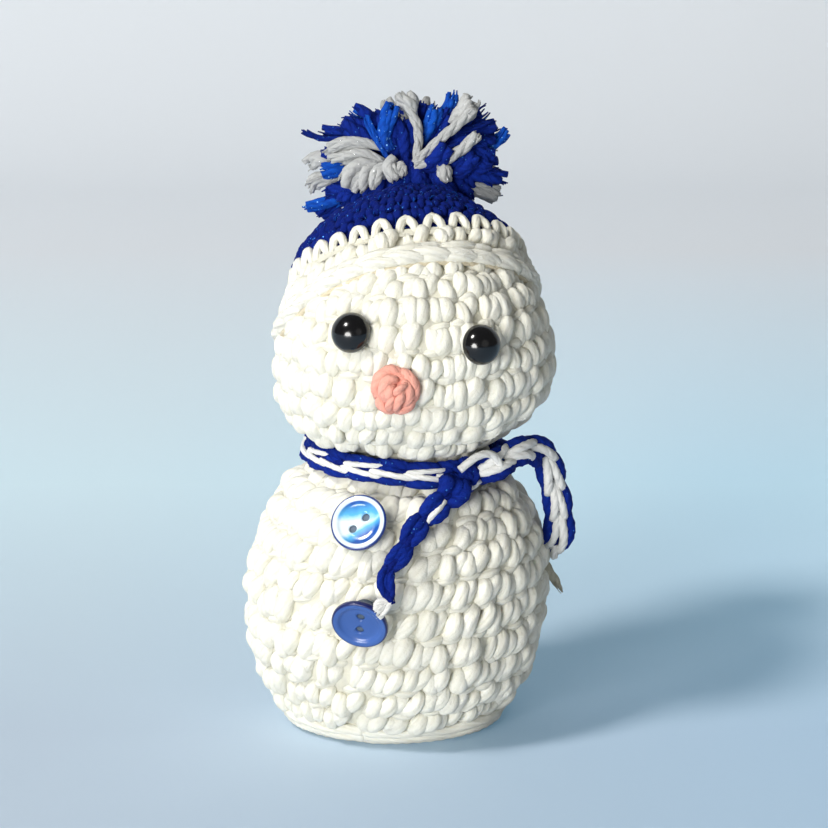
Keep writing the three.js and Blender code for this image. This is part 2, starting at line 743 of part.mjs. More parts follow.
/** A stiff cut yarn end, tapering to its tip. */
function cutYarn(route) {
  return rod(offBody(route), [YARN_RADIUS, YARN_RADIUS * 1.1, YARN_RADIUS * 0.8, 0.15], 8);
}

// Body
addPiece("body_cover", bodyCover(), WHITE_YARN, standing);
addPiece("body_stuffing", bodyStuffing(), FILLING, standing);
addPiece("base_disc", baseDisc(), CARD, snowman);
addPiece("neck_seam", neckSeam(), WHITE_YARN, standing);
addPiece("body_yarn_tail", cutYarn(YARN_TAIL_ROUTE), CREAM_YARN, standing);

// Head
addPiece("head_cover", headCover(), WHITE_YARN, head);
addPiece("head_stuffing", headStuffing(), FILLING, head);
for (const [name, place] of Object.entries(eyeSeats)) {
  addPiece(name, eye(), BLACK_PLASTIC, place);
  addPiece(name.replace("eye", "eye_washer"), eyeWasher(), WASHER_PLASTIC, place);
}
const noseSeat = seat(head, NOSE_AZIMUTH, NOSE_HEIGHT, headRadius(NOSE_HEIGHT) + GAP, 0);
addPiece("nose", cut(nose(), inFrame(headBall(-GAP, -HEAD_DROP, 20), head, noseSeat)), PINK_YARN, noseSeat);

// Hat
addPiece("hat_brim", hatBrim(), WHITE_YARN, hat);
addPiece("hat_crown", hatCrown(), BLUE_YARN, hat);
addPiece("pompom_blue", pompomBlue(), BLUE_YARN, hat);
addPiece("pompom_white", pompomWhite(), WHITE_YARN, hat);
addPiece("pompom_tie", pompomTie(), BLUE_YARN, hat);

// Buttons
for (const [name, place, material] of [
  ["upper", BUTTON_UPPER, PEARL_BUTTON],
  ["lower", BUTTON_LOWER, BLUE_BUTTON],
]) {
  const frame = buttonSeat(place);
  addPiece("button_" + name, button(place.holes), material, frame);
  addPiece("button_glue_" + name, buttonGlue(place, frame), CLEAR_GLUE, frame);
}

// Scarf
addPiece("scarf_wrap", scarfWrap(), MIXED_YARN, standing);
addPiece("scarf_knot", scarfKnot(), MIXED_YARN, standing);
addPiece("scarf_front_tail", chain(FRONT_TAIL_ROUTE), MIXED_YARN, standing);
addPiece("scarf_side_tail", chain(SIDE_TAIL_ROUTE), MIXED_YARN, standing);
addPiece("scarf_front_tuft", frayedEnd(FRONT_TUFT_ROUTE, 7), WHITE_YARN, standing);
addPiece("scarf_side_tuft", frayedEnd(SIDE_TUFT_ROUTE, 6), MIXED_YARN, standing);

export default snowman;
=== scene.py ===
"""A crocheted snowman with a pompom hat and a two-strand scarf, dressed stitch by stitch.

Sizes are in millimetres until a mesh is written; the frame itself is in metres. Azimuth is the
turn about Z from -Y towards +X, in degrees.
"""

import logging
from collections.abc import Callable, Sequence
from dataclasses import dataclass, field
from enum import Enum

import bpy
import numpy as np
from mathutils import Matrix, Vector


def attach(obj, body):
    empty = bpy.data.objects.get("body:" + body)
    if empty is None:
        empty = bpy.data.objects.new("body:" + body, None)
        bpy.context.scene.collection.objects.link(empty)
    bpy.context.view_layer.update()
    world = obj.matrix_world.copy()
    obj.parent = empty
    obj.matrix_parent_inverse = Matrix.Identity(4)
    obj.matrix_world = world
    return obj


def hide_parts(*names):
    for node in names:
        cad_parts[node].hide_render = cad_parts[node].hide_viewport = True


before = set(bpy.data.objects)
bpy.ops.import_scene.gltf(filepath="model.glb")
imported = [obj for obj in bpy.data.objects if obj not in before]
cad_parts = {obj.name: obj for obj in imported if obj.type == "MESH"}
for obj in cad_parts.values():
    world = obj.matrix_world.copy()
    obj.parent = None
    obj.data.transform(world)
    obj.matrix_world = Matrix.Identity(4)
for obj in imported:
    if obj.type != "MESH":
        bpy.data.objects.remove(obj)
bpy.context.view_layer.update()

log = logging.getLogger("snowman")

Array = np.ndarray
Colour = tuple[float, float, float]
Socket = bpy.types.NodeSocket
Node = bpy.types.Node
Material = bpy.types.Material
Piece = bpy.types.Object
Random = np.random.Generator

MM = 0.001
FULL_TURN = 2 * np.pi
VIEWED = np.radians(16.0)


def unit(vectors: Array) -> Array:
    """Vectors of the same directions and of length one."""
    return vectors / np.maximum(np.linalg.norm(vectors, axis=-1, keepdims=True), 1e-9)


def smooth(share: Array) -> Array:
    """A soft step from 0 to 1 as share goes from 0 to 1."""
    share = np.clip(share, 0.0, 1.0)
    return share * share * (3.0 - 2.0 * share)


def moved_by(move: Callable[[Array], Array], points: Array) -> Array:
    """Points in rows of any number, each moved as a function moves a plain list of them."""
    return move(points.reshape(-1, 3)).reshape(points.shape)


def steps_of(line: Array) -> Array:
    """The distance from each point of a line to the next."""
    return np.linalg.norm(np.diff(line, axis=0), axis=1)


def lengths_along(line: Array) -> Array:
    """How far along a line each of its points lies."""
    return np.concatenate([[0], np.cumsum(steps_of(line))])


def read_between(spots: Array, known: Array, vectors: Array) -> Array:
    """Vectors at some spots, read between the spots where they are known."""
    return np.stack([np.interp(spots, known, vectors[:, axis]) for axis in range(3)], axis=-1)


def turn_about(axis: str, degrees: float) -> Array:
    """The 3 by 3 rotation about axis "X", "Y" or "Z", counter-clockwise seen from its tip."""
    return np.array(Matrix.Rotation(np.radians(degrees), 3, axis))


def facing(azimuth: Array | float) -> Array:
    """Level unit vectors by azimuth in radians."""
    azimuth = np.asarray(azimuth, float)
    return np.stack([np.sin(azimuth), -np.cos(azimuth), np.zeros_like(azimuth)], axis=-1)


@dataclass(frozen=True)
class Place:
    """A frame of its own: where it is and how it is turned in the part's frame."""

    origin: Array
    turn: Array

    def out(self, points: Array) -> Array:
        """Points of this frame in the part's frame."""
        return points @ self.turn.T + self.origin

    def into(self, points: Array) -> Array:
        """Points of the part's frame in this frame."""
        return (points - self.origin) @ self.turn

    def child(self, origin: Sequence[float], turn: Array) -> "Place":
        """A frame inside this one."""
        return Place(self.out(np.array(origin, float)), self.turn @ turn)

    def seat(self, azimuth: float, height: float, radius: float, pitch: float) -> "Place":
        """A frame at a height and a radius about this one's Z, its own Z outward and pitched above level."""
        spot = facing(np.radians(azimuth)) * radius + np.array([0, 0, height])
        return self.child(spot, turn_about("Z", azimuth) @ turn_about("X", 90 - pitch))


# Main sizes of the solids, which the stitches follow
LEAN = 3.3
NECK_HEIGHT = 57.6
NECK_RADIUS = 15.0
BODY_RADIUS = 30.4
BASE_RADIUS = 19.2
BODY_WIDEST = 27.0
HEAD_RADIUS = 28.4
HEAD_RISE = 27.2
HEAD_DROP = 19.6
HEAD_TURN = 13.2
HEAD_TILT = -0.8
HAT_BACK = 33.3
HAT_SIDE = 14.1
HAT_RADIUS = 28.6
HAT_RISE = 33.6
BRIM_LOW = 9.6
BRIM_HIGH = 20.3
CROWN_HIGH = 36.5
CROWN_SLUMP = 5.5
GAP = 0.3
NECK_SPACE = NECK_RADIUS * abs(np.sin(np.radians(HEAD_TILT))) + GAP

ROOM = Place(np.zeros(3), np.eye(3))
STANDING = ROOM.child((0, 0, 0), turn_about("Y", LEAN))
HEAD_TURNED = turn_about("Y", HEAD_TILT) @ turn_about("Z", HEAD_TURN)
HEAD = STANDING.child(
    np.array([0, 0, NECK_HEIGHT + NECK_SPACE]) + HEAD_TURNED @ np.array([0, 0, HEAD_DROP]), HEAD_TURNED
)
HAT = HEAD.child((0, 0, 0), turn_about("Y", -HAT_SIDE) @ turn_about("X", -HAT_BACK))


def body_radius(height: Array) -> Array:
    """Outside radius of the body at heights along its leaning axis."""
    height = np.asarray(height, float)
    low = BODY_RADIUS - (BODY_RADIUS - BASE_RADIUS) * np.clip(1 - height / BODY_WIDEST, 0, None) ** 2.6
    rise = np.clip((height - BODY_WIDEST) / (NECK_HEIGHT - BODY_WIDEST), 0, 1)
    return np.where(height < BODY_WIDEST, low, BODY_RADIUS - (BODY_RADIUS - NECK_RADIUS) * rise**3.5)


def head_radius(height: Array) -> Array:
    """Outside radius of the head at heights above its centre."""
    height = np.asarray(height, float)
    jaw = HEAD_RADIUS - (HEAD_RADIUS - NECK_RADIUS) * np.clip(-height / HEAD_DROP, 0, None) ** 3.3
    scalp = HEAD_RADIUS * np.clip(1 - np.clip(height / HEAD_RISE, 0, 1) ** 2.2, 0, 1) ** (1 / 2.2)
    return np.where(height < 0, jaw, scalp)


def hat_radius(height: Array) -> Array:
    """Outside radius of the hat at heights along its axis."""
    height = np.asarray(height, float)
    ball = HAT_RADIUS * np.sqrt(np.clip(1 - (height / HAT_RISE) ** 2, 0, 1))
    widest = HAT_RADIUS * np.sqrt(1 - (BRIM_HIGH / HAT_RISE) ** 2)
    rise = np.clip((height - BRIM_HIGH) / (CROWN_HIGH - BRIM_HIGH), 0, 1)
    return np.where(height < BRIM_HIGH, ball, widest * np.clip(1 - rise**1.6, 0, 1) ** (1 / 1.6))


def pitch_of(radius_at: Callable[[Array], Array], height: float) -> float:
    """How far an outline's surface looks up at a height, in degrees."""
    step = 0.05
    fall = float(radius_at(height - step) - radius_at(height + step))
    return float(np.degrees(np.arctan2(fall, 2 * step)))


class Outline:
    """A round form's profile, read by the distance along it from its lower end."""

    def __init__(self, radius: Array, height: Array) -> None:
        """Measures the profile.

        Args:
            radius: distances from the axis, from the lower end up.
            height: heights that go with them.
        """
        self.length = np.concatenate([[0], np.cumsum(np.hypot(np.diff(radius), np.diff(height)))])
        self.radius = radius
        self.height = height
        self.total = float(self.length[-1])
        along_r = np.gradient(radius, self.length)
        along_z = np.gradient(height, self.length)
        size = np.hypot(along_r, along_z)
        self.normal_r = along_z / size
        self.normal_z = -along_r / size

    @classmethod
    def of(cls, radius_at: Callable[[Array], Array], low: float, high: float, lead: Array | None = None) -> "Outline":
        """A profile from a radius function.

        Args:
            radius_at: outside radius by height.
            low: lowest height.
            high: highest height.
            lead: points of radius and height that come before, such as a flat base.

        Returns:
            The profile.
        """
        height = low + (high - low) * np.sin(np.linspace(0, np.pi / 2, 500))
        radius = radius_at(height)
        if lead is not None:
            radius = np.concatenate([lead[:, 0], radius])
            height = np.concatenate([lead[:, 1], height])
        return cls(radius, height)

    def point(self, along: Array, azimuth: Array, off: Array | float) -> tuple[Array, Array]:
        """Points off the surface.

        Args:
            along: distances along the profile.
            azimuth: radians round the axis.
            off: distances off the surface, outward.

        Returns:
            The points and the surface's normals there, in the form's own frame.
        """
        radius, height, normal_r, normal_z = (
            np.interp(along, self.length, each) for each in (self.radius, self.height, self.normal_r, self.normal_z)
        )
        out = facing(azimuth)
        up = np.array([0.0, 0.0, 1.0])
        normal = unit(out * normal_r[..., None] + up * normal_z[..., None])
        spot = out * (radius + normal_r * off)[..., None] + up * (height + normal_z * off)[..., None]
        return spot, normal


@dataclass
class Strands:
    """Many yarn strands of the same number of rings, in one array."""

    centres: Array
    radii: Array
    normals: Array
    tone: Array
    shade: Array
    sides: int = 10
    flat: float = 1.0
    plies: int = 3
    ply_depth: float = 0.05
    twist: float = 0.9

    def skin(self) -> "Skin":
        """The strands' surfaces, each closed at both ends."""
        count, rings, _ = self.centres.shape
        tangent = unit(np.gradient(self.centres, axis=1))
        side = unit(np.cross(tangent, self.normals))
        lift = np.cross(side, tangent)
        steps = np.linalg.norm(np.diff(self.centres, axis=1), axis=-1)
        along = np.concatenate([np.zeros((count, 1)), np.cumsum(steps, axis=1)], axis=1)
        turn = np.arange(self.sides) * FULL_TURN / self.sides
        phase = self.tone[:, None, None] * 40.0
        ply = np.cos(self.plies * (turn[None, None, :] + self.twist * along[:, :, None]) + phase)
        reach = self.radii[:, :, None] * (1 + self.ply_depth * ply)
        cosine, sine = np.cos(turn), np.sin(turn)
        points = (
            self.centres[:, :, None, :]
            + (reach * cosine)[..., None] * side[:, :, None, :]
            + (reach * sine * self.flat)[..., None] * lift[:, :, None, :]
        )
        shape = (count, rings, self.sides)
        lie = (along[:, :, None] + phase, cosine, sine)
        yarn = np.stack([np.broadcast_to(each, shape) for each in lie], axis=-1)
        tone = np.broadcast_to(self.tone[:, None, None], shape)
        shade = np.broadcast_to(self.shade[:, :, None], shape)
        first = (np.arange(count) * rings * self.sides)[:, None, None]
        ring = (np.arange(rings - 1) * self.sides)[None, :, None]
        here = np.arange(self.sides)
        after = (here + 1) % self.sides
        a = first + ring + here
        b = first + ring + after
        quads = np.stack([a, a + self.sides, b + self.sides, b], axis=-1).reshape(-1, 4)
        last = first[:, 0, 0] + (rings - 1) * self.sides
        start_caps = first[:, 0, 0][:, None] + here[None, :]
        end_caps = last[:, None] + here[None, ::-1]
        faces = [quads, start_caps, end_caps]
        return Skin(points.reshape(-1, 3), yarn.reshape(-1, 3), tone.reshape(-1), shade.reshape(-1), faces)


@dataclass
class Skin:
    """Points and faces of a mesh, with what the finishes read at each point."""

    points: Array
    yarn: Array
    tone: Array
    shade: Array
    faces: list[Array]

    @staticmethod
    def merged(skins: Sequence["Skin"]) -> "Skin":
        """Several skins as one."""
        faces: list[Array] = []
        start = 0
        for skin in skins:
            faces += [face + start for face in skin.faces]
            start += len(skin.points)
        held = zip(*((skin.points, skin.yarn, skin.tone, skin.shade) for skin in skins))
        return Skin(*(np.concatenate(each) for each in held), faces)

    @staticmethod
    def grid(points: Array, closed: bool, shade: float) -> "Skin":
        """A sheet of points as a skin.

        Args:
            points: rows by columns by 3.
            closed: whether each row runs round to its start.
            shade: how lit its yarn lies, from 0 for deep inside.

        Returns:
            The skin, its faces looking away from the rows' inside.
        """
        rows, columns, _ = points.shape
        here = np.arange(columns if closed else columns - 1)
        after = (here + 1) % columns
        row = (np.arange(rows - 1) * columns)[:, None]
        quads = np.stack([row + here, row + after, row + after + columns, row + here + columns], axis=-1)
        flat = points.reshape(-1, 3)
        count = len(flat)
        yarn = np.stack([np.repeat(np.arange(rows), columns) * 1.0, np.ones(count), np.zeros(count)], axis=-1)
        return Skin(flat, yarn, np.full(count, 0.5), np.full(count, shade), [quads.reshape(-1, 4)])


def add_mesh(name: str, skin: Skin, material: Material) -> Piece:
    """Writes a skin as a smooth mesh object.

    Args:
        name: the piece's name.
        skin: its points and faces, in millimetres of the part's frame.
        material: its finish.

    Returns:
        The object, linked to the scene.
    """
    mesh = bpy.data.meshes.new(name)
    mesh.vertices.add(len(skin.points))
    mesh.vertices.foreach_set("co", (skin.points * MM).astype(np.float32).ravel())
    loops = np.concatenate([face.ravel() for face in skin.faces]).astype(np.int32)
    sizes = np.concatenate([np.full(len(face), face.shape[1]) for face in skin.faces])
    starts = np.concatenate([[0], np.cumsum(sizes)[:-1]]).astype(np.int32)
    mesh.loops.add(len(loops))
    mesh.loops.foreach_set("vertex_index", loops)
    mesh.polygons.add(len(sizes))
    mesh.polygons.foreach_set("loop_start", starts)
    mesh.update(calc_edges=True)
    mesh.polygons.foreach_set("use_smooth", np.ones(len(sizes), bool))
    for label, kind, key, values in (
        ("yarn", "FLOAT_VECTOR", "vector", skin.yarn),
        ("tone", "FLOAT", "value", skin.tone),
        ("shade", "FLOAT", "value", skin.shade),
    ):
        mesh.attributes.new(label, kind, "POINT").data.foreach_set(key, values.astype(np.float32).ravel())
    mesh.materials.append(material)
    mesh.validate()
    piece = bpy.data.objects.new(name, mesh)
    bpy.context.scene.collection.objects.link(piece)
    return piece


def add_material(piece: Piece, first: Skin, material: Material) -> None:
    """Gives another material to all faces of a piece that come after those of a first skin."""
    piece.data.materials.append(material)
    faces = sum(len(face) for face in first.faces)
    index = (np.arange(len(piece.data.polygons)) >= faces).astype(np.int32)
    piece.data.polygons.foreach_set("material_index", index)


def lathe(profile: Sequence[tuple[float, float]], sides: int, place: Place) -> Skin:
    """A turned form about a frame's Z axis.

    Args:
        profile: radius and height pairs, from the bottom up on the outside.
        sides: facets round it.
        place: the frame it stands in.

    Returns:
        Its skin.
    """
    outline = np.array(profile, float)
    turn = np.arange(sides) * FULL_TURN / sides
    round_it = np.stack([np.cos(turn), np.sin(turn)], axis=-1)
    rise = np.broadcast_to(outline[:, None, 1:], (len(outline), sides, 1))
    points = np.concatenate([outline[:, None, :1] * round_it[None], rise], axis=-1)
    return Skin.grid(moved_by(place.out, points), True, 1.0)


class Wiring:
    """Adds and links shader nodes in one tree."""

    def __init__(self, tree: bpy.types.NodeTree) -> None:
        """Starts on a material's or a group's own node tree."""
        self.tree = tree

    def add(self, kind: str, inputs: dict[str | int, object] | None = None, **settings: object) -> Node:
        """Adds a node.

        Args:
            kind: the node's type.
            inputs: sockets or plain values by input name or number.
            settings: the node's own options.

        Returns:
            The node.
        """
        node = self.tree.nodes.new(kind)
        for key, value in settings.items():
            setattr(node, key, value)
        self.feed(node, inputs or {})
        return node

    def feed(self, node: Node, inputs: dict[str | int, object]) -> None:
        """Gives a node's inputs their sockets or plain values."""
        for key, value in inputs.items():
            if isinstance(value, Socket):
                self.tree.links.new(value, node.inputs[key])
            else:
                node.inputs[key].default_value = value

    def math(self, operation: str, *values: Socket | float, clamp: bool = False) -> Socket:
        """The result of a Math node."""
        inputs = dict(enumerate(values))
        return self.add("ShaderNodeMath", inputs, operation=operation, use_clamp=clamp).outputs[0]

    def scaled(self, value: Socket, factor: Socket | float, offset: Socket | float, clamp: bool = False) -> Socket:
        """A value times a factor plus an offset."""
        return self.math("MULTIPLY_ADD", value, factor, offset, clamp=clamp)

    def mix(self, share: Socket | float, first: object, second: object) -> Socket:
        """A colour between two colours."""
        return self.add("ShaderNodeMix", {0: share, 6: first, 7: second}, data_type="RGBA").outputs[2]

    def fit(self, value: Socket, low: float, high: float) -> Socket:
        """A value of 0 to 1 spread to low to high."""
        return self.scaled(value, high - low, low)

    def noise(self, vector: Socket, scale: Socket | float, detail: float = 3.0, roughness: float = 0.5) -> Socket:
        """A noise texture's value."""
        inputs = {"Vector": vector, "Scale": scale, "Detail": detail, "Roughness": roughness}
        return self.add("ShaderNodeTexNoise", inputs).outputs[0]


def opaque(colour: Colour) -> tuple[float, float, float, float]:
    """A colour with its alpha."""
    return (*colour, 1.0)


def shared_group(
    name: str, inputs: dict[str, object], outputs: dict[str, str]
) -> tuple[Wiring, Node, Node]:
    """Starts a shader node group.

    Args:
        name: the group's name.
        inputs: default values by socket name; a tuple is a colour.
        outputs: socket types by name.

    Returns:
        Its wiring, its input node and its output node.
    """
    tree = bpy.data.node_groups.new(name, "ShaderNodeTree")
    for label, value in inputs.items():
        kind = "NodeSocketColor" if isinstance(value, tuple) else "NodeSocketFloat"
        socket = tree.interface.new_socket(name=label, in_out="INPUT", socket_type=kind)
        socket.default_value = opaque(value) if isinstance(value, tuple) else value
    for label, kind in outputs.items():
        tree.interface.new_socket(name=label, in_out="OUTPUT", socket_type=kind)
    wiring = Wiring(tree)
    return wiring, wiring.add("NodeGroupInput"), wiring.add("NodeGroupOutput")


def spun_yarn_group() -> bpy.types.NodeTree:
    """Twisted plies with fibres along them, and flecks of glitter thread.

    Returns:
        The group, which puts out a colour, a roughness, a metal mask and a height.
    """
    wiring, given, put = shared_group(
        "Spun yarn",
        {"Light": (0.9, 0.9, 0.9), "Deep": (0.5, 0.5, 0.5), "Fleck": (0.8, 0.9, 1.0), "Plies": 3.0,
         "Twist": 0.9, "Glitter": 0.0},
        {"Color": "NodeSocketColor", "Roughness": "NodeSocketFloat", "Metal": "NodeSocketFloat",
         "Height": "NodeSocketFloat"},
    )
    lie = wiring.add("ShaderNodeAttribute", attribute_name="yarn").outputs["Vector"]
    along, cosine, sine = wiring.add("ShaderNodeSeparateXYZ", {0: lie}).outputs
    angle = wiring.math("ARCTAN2", sine, cosine)
    turned = wiring.scaled(along, given.outputs["Twist"], angle)
    ply = wiring.math("COSINE", wiring.math("MULTIPLY", turned, given.outputs["Plies"]))
    ply = wiring.math("SQRT", wiring.scaled(ply, 0.5, 0.5, clamp=True))
    round_it = [wiring.math("MULTIPLY", wiring.math(kind, turned), 2.6) for kind in ("COSINE", "SINE")]
    spot = dict(enumerate([wiring.math("MULTIPLY", along, 0.45), *round_it]))
    lengthwise = wiring.add("ShaderNodeCombineXYZ", spot).outputs[0]
    fibre = wiring.noise(lengthwise, 1.25, 4.0, 0.62)
    tone = wiring.add("ShaderNodeAttribute", attribute_name="tone").outputs["Fac"]
    shade = wiring.add("ShaderNodeAttribute", attribute_name="shade").outputs["Fac"]
    place = wiring.add("ShaderNodeTexCoord").outputs["Object"]
    cloud = wiring.noise(place, 160.0, 2.0)
    fuzz = wiring.noise(place, 1500.0, 3.0, 0.7)
    share = wiring.math("MULTIPLY", ply, 0.22)
    for part, weight in ((fibre, 0.4), (fuzz, 0.15), (tone, 0.16), (cloud, 0.22)):
        share = wiring.scaled(part, weight, share)
    # Painted shade: the shade attribute pulls the colour toward Deep in crevices, at the tucked-in ends of strands
    # and on the backing sheets
    share = wiring.math("MULTIPLY", share, wiring.fit(shade, 0.25, 1.15), clamp=True)
    colour = wiring.mix(share, given.outputs["Deep"], given.outputs["Light"])
    cells = wiring.add("ShaderNodeTexVoronoi", {"Vector": place, "Scale": 2300.0})
    grain = wiring.add("ShaderNodeSeparateXYZ", {0: cells.outputs["Color"]})
    chosen = wiring.math("GREATER_THAN", grain.outputs[0], wiring.math("SUBTRACT", 1.0, given.outputs["Glitter"]))
    small = wiring.math("LESS_THAN", cells.outputs["Distance"], 0.42)
    mask = wiring.math("MULTIPLY", chosen, small)
    glint = wiring.math("MULTIPLY", mask, wiring.fit(grain.outputs[1], 0.45, 1.0))
    colour = wiring.mix(glint, colour, given.outputs["Fleck"])
    rough = wiring.fit(fibre, 0.7, 1.0)
    rough = wiring.scaled(mask, -0.55, rough)
    height = wiring.scaled(fibre, 0.6, wiring.math("MULTIPLY", ply, 0.45))
    height = wiring.scaled(fuzz, 0.9, height)
    wiring.feed(put, {"Color": colour, "Roughness": rough, "Metal": mask, "Height": height})
    return wiring.tree


def grain_group() -> bpy.types.NodeTree:
    """Soft clouds and fine grain for plain pieces.

    Returns:
        The group, which puts out a colour, a roughness and a height.
    """
    wiring, given, put = shared_group(
        "Fine grain",
        {"Light": (0.9, 0.9, 0.9), "Deep": (0.5, 0.5, 0.5), "Cloud size": 200.0, "Grain size": 3000.0,
         "Smoothest": 0.3, "Roughest": 0.5},
        {"Color": "NodeSocketColor", "Roughness": "NodeSocketFloat", "Height": "NodeSocketFloat"},
    )
    place = wiring.add("ShaderNodeTexCoord").outputs["Object"]
    cloud = wiring.noise(place, given.outputs["Cloud size"], 3.0)
    grain = wiring.noise(place, given.outputs["Grain size"], 2.0)
    share = wiring.scaled(grain, 0.3, wiring.math("MULTIPLY", cloud, 0.7), clamp=True)
    spread = wiring.math("SUBTRACT", given.outputs["Roughest"], given.outputs["Smoothest"])
    rough = wiring.scaled(share, spread, given.outputs["Smoothest"])
    colour = wiring.mix(share, given.outputs["Deep"], given.outputs["Light"])
    wiring.feed(put, {"Color": colour, "Roughness": rough, "Height": grain})
    return wiring.tree


SPUN_YARN = spun_yarn_group()
FINE_GRAIN = grain_group()


def blank_material(name: str) -> tuple[Material, Wiring, Node]:
    """A material with its shader ready.

    Args:
        name: the finish's name.

    Returns:
        The material, its wiring and its Principled shader.
    """
    material = bpy.data.materials.new(name)
    material.use_nodes = True
    return material, Wiring(material.node_tree), material.node_tree.nodes["Principled BSDF"]


def relief(wiring: Wiring, shader: Node, height: Socket, depth: float) -> None:
    """Bumps a shader's surface by a height of 0 to 1, where 1 is depth in millimetres."""
    bump = wiring.add("ShaderNodeBump", {"Height": height, "Distance": depth * MM})
    wiring.feed(shader, {"Normal": bump.outputs[0]})


def rim_mask(wiring: Wiring, start: float, sharpness: float) -> Socket:
    """A mask that is 1 beyond some distance from a piece's own axis.

    Args:
        wiring: the material's wiring.
        start: the distance, in millimetres.
        sharpness: how fast it rises from there, per millimetre.

    Returns:
        The mask.
    """
    place = wiring.add("ShaderNodeTexCoord").outputs["Object"]
    axes = wiring.add("ShaderNodeSeparateXYZ", {0: place}).outputs
    squares = [wiring.math("MULTIPLY", axis, axis) for axis in axes[:2]]
    reach = wiring.math("SQRT", wiring.math("ADD", *squares))
    return wiring.scaled(reach, sharpness / MM, -sharpness * start, clamp=True)


@dataclass(frozen=True)
class YarnFinish:
    """A yarn: its colours, its plies and its glitter."""

    name: str
    light: Colour
    deep: Colour
    plies: float = 3.0
    twist: float = 0.9
    glitter: float = 0.0
    fleck: Colour = (0.75, 0.9, 1.0)
    depth: float = 0.22
    sheen: float = 0.15
    gloss: float = 0.3
    through: float = 0.0

    def material(self) -> Material:
        """The yarn's material."""
        material, wiring, shader = blank_material(self.name)
        inputs = {
            "Light": opaque(self.light),
            "Deep": opaque(self.deep),
            "Fleck": opaque(self.fleck),
            "Plies": self.plies,
            "Twist": self.twist,
            "Glitter": self.glitter,
        }
        yarn = wiring.add("ShaderNodeGroup", inputs, node_tree=SPUN_YARN)
        finish = {
            "Base Color": yarn.outputs["Color"],
            "Roughness": yarn.outputs["Roughness"],
            "Specular IOR Level": self.gloss,
            "Sheen Weight": self.sheen,
            "Sheen Roughness": 0.5,
            "Subsurface Weight": self.through,
            "Subsurface Radius": (1.0, 0.9, 0.7),
            "Subsurface Scale": 1.2 * MM,
        }
        if self.glitter:
            finish["Metallic"] = yarn.outputs["Metal"]
        wiring.feed(shader, finish)
        relief(wiring, shader, yarn.outputs["Height"], self.depth)
        return material


@dataclass(frozen=True)
class PlainFinish:
    """A plain piece: its colours, gloss and grain."""

    name: str
    light: Colour
    deep: Colour
    smoothest: float
    roughest: float
    cloud: float = 200.0
    grain: float = 3000.0
    depth: float = 0.02
    coat: float = 0.0
    gloss: float = 0.5
    edge: Colour | None = None
    edge_from: float = 0.0

    def material(self) -> Material:
        """The piece's material."""
        material, wiring, shader = blank_material(self.name)
        inputs = {
            "Light": opaque(self.light),
            "Deep": opaque(self.deep),
            "Cloud size": self.cloud,
            "Grain size": self.grain,
            "Smoothest": self.smoothest,
            "Roughest": self.roughest,
        }
        grain = wiring.add("ShaderNodeGroup", inputs, node_tree=FINE_GRAIN)
        colour = grain.outputs["Color"]
        if self.edge:
            colour = wiring.mix(rim_mask(wiring, self.edge_from, 4.0), colour, opaque(self.edge))
        finish = {
            "Base Color": colour,
            "Roughness": grain.outputs["Roughness"],
            "Specular IOR Level": self.gloss,
            "Coat Weight": self.coat,
            "Coat Roughness": 0.04,
        }
        wiring.feed(shader, finish)
        relief(wiring, shader, grain.outputs["Height"], self.depth)
        return material


WHITE_YARN = YarnFinish(
    "white cotton yarn", (0.915, 0.905, 0.815), (0.68, 0.66, 0.55), plies=6.0, twist=0.2, depth=0.21,
    sheen=0.12, gloss=0.06, through=0.22,
)
BLUE_YARN = YarnFinish(
    "blue glitter yarn", (0.004, 0.028, 0.3), (0.0008, 0.003, 0.085), plies=3.0, twist=1.0, glitter=0.025,
    fleck=(0.08, 0.3, 0.8), depth=0.45, sheen=0.0, gloss=0.14,
)
CROWN_YARN = YarnFinish(
    "blue crown yarn", (0.003, 0.018, 0.21), (0.0008, 0.004, 0.085), plies=2.0, twist=1.4, glitter=0.07,
    fleck=(0.06, 0.25, 0.8), depth=0.25, sheen=0.0, gloss=0.12,
)
BRIGHT_YARN = YarnFinish(
    "bright blue yarn ends", (0.006, 0.1, 0.55), (0.002, 0.012, 0.2), plies=2.0, twist=1.4, glitter=0.08,
    fleck=(0.3, 0.65, 1.0), depth=0.3, sheen=0.0, gloss=0.14,
)
GLITTER_WHITE_YARN = YarnFinish(
    "white glitter yarn", (0.93, 0.93, 0.9), (0.66, 0.66, 0.64), plies=3.0, twist=0.8, glitter=0.015,
    fleck=(1.0, 1.0, 1.0), depth=0.3,
)
# The scarf's white glitter yarn painted greyer for the pompom: painted shade
POMPOM_WHITE_PAINTED_SHADE = YarnFinish(
    "greyish white glitter yarn", (0.54, 0.55, 0.545), (0.32, 0.33, 0.335), plies=3.0, twist=0.8, glitter=0.015,
    fleck=(1.0, 1.0, 1.0), depth=0.35, gloss=0.2,
)
# The body's own yarn end, painted darker as if in shade
TAIL_YARN_PAINTED_SHADE = YarnFinish("stiff cream yarn", (0.62, 0.58, 0.45), (0.28, 0.25, 0.17), twist=1.3)
PINK_YARN = YarnFinish("salmon pink yarn", (0.9, 0.44, 0.35), (0.76, 0.3, 0.23), twist=0.9, depth=0.35)
BLACK_EYE = PlainFinish(
    "polished black eye", (0.004, 0.004, 0.005), (0.002, 0.002, 0.003), 0.13, 0.19, 300.0, 2500.0, 0.004, gloss=0.6
)
PLAIN_BUTTON = PlainFinish(
    "dark periwinkle button", (0.05, 0.13, 0.42), (0.035, 0.1, 0.35), 0.24, 0.36, 260.0, 4000.0, 0.01, 0.2,
    edge=(0.004, 0.01, 0.1), edge_from=5.2,
)
FILLING = PlainFinish("loose filling", (0.9, 0.9, 0.9), (0.7, 0.7, 0.7), 0.9, 1.0, 300.0, 1200.0, 0.5)
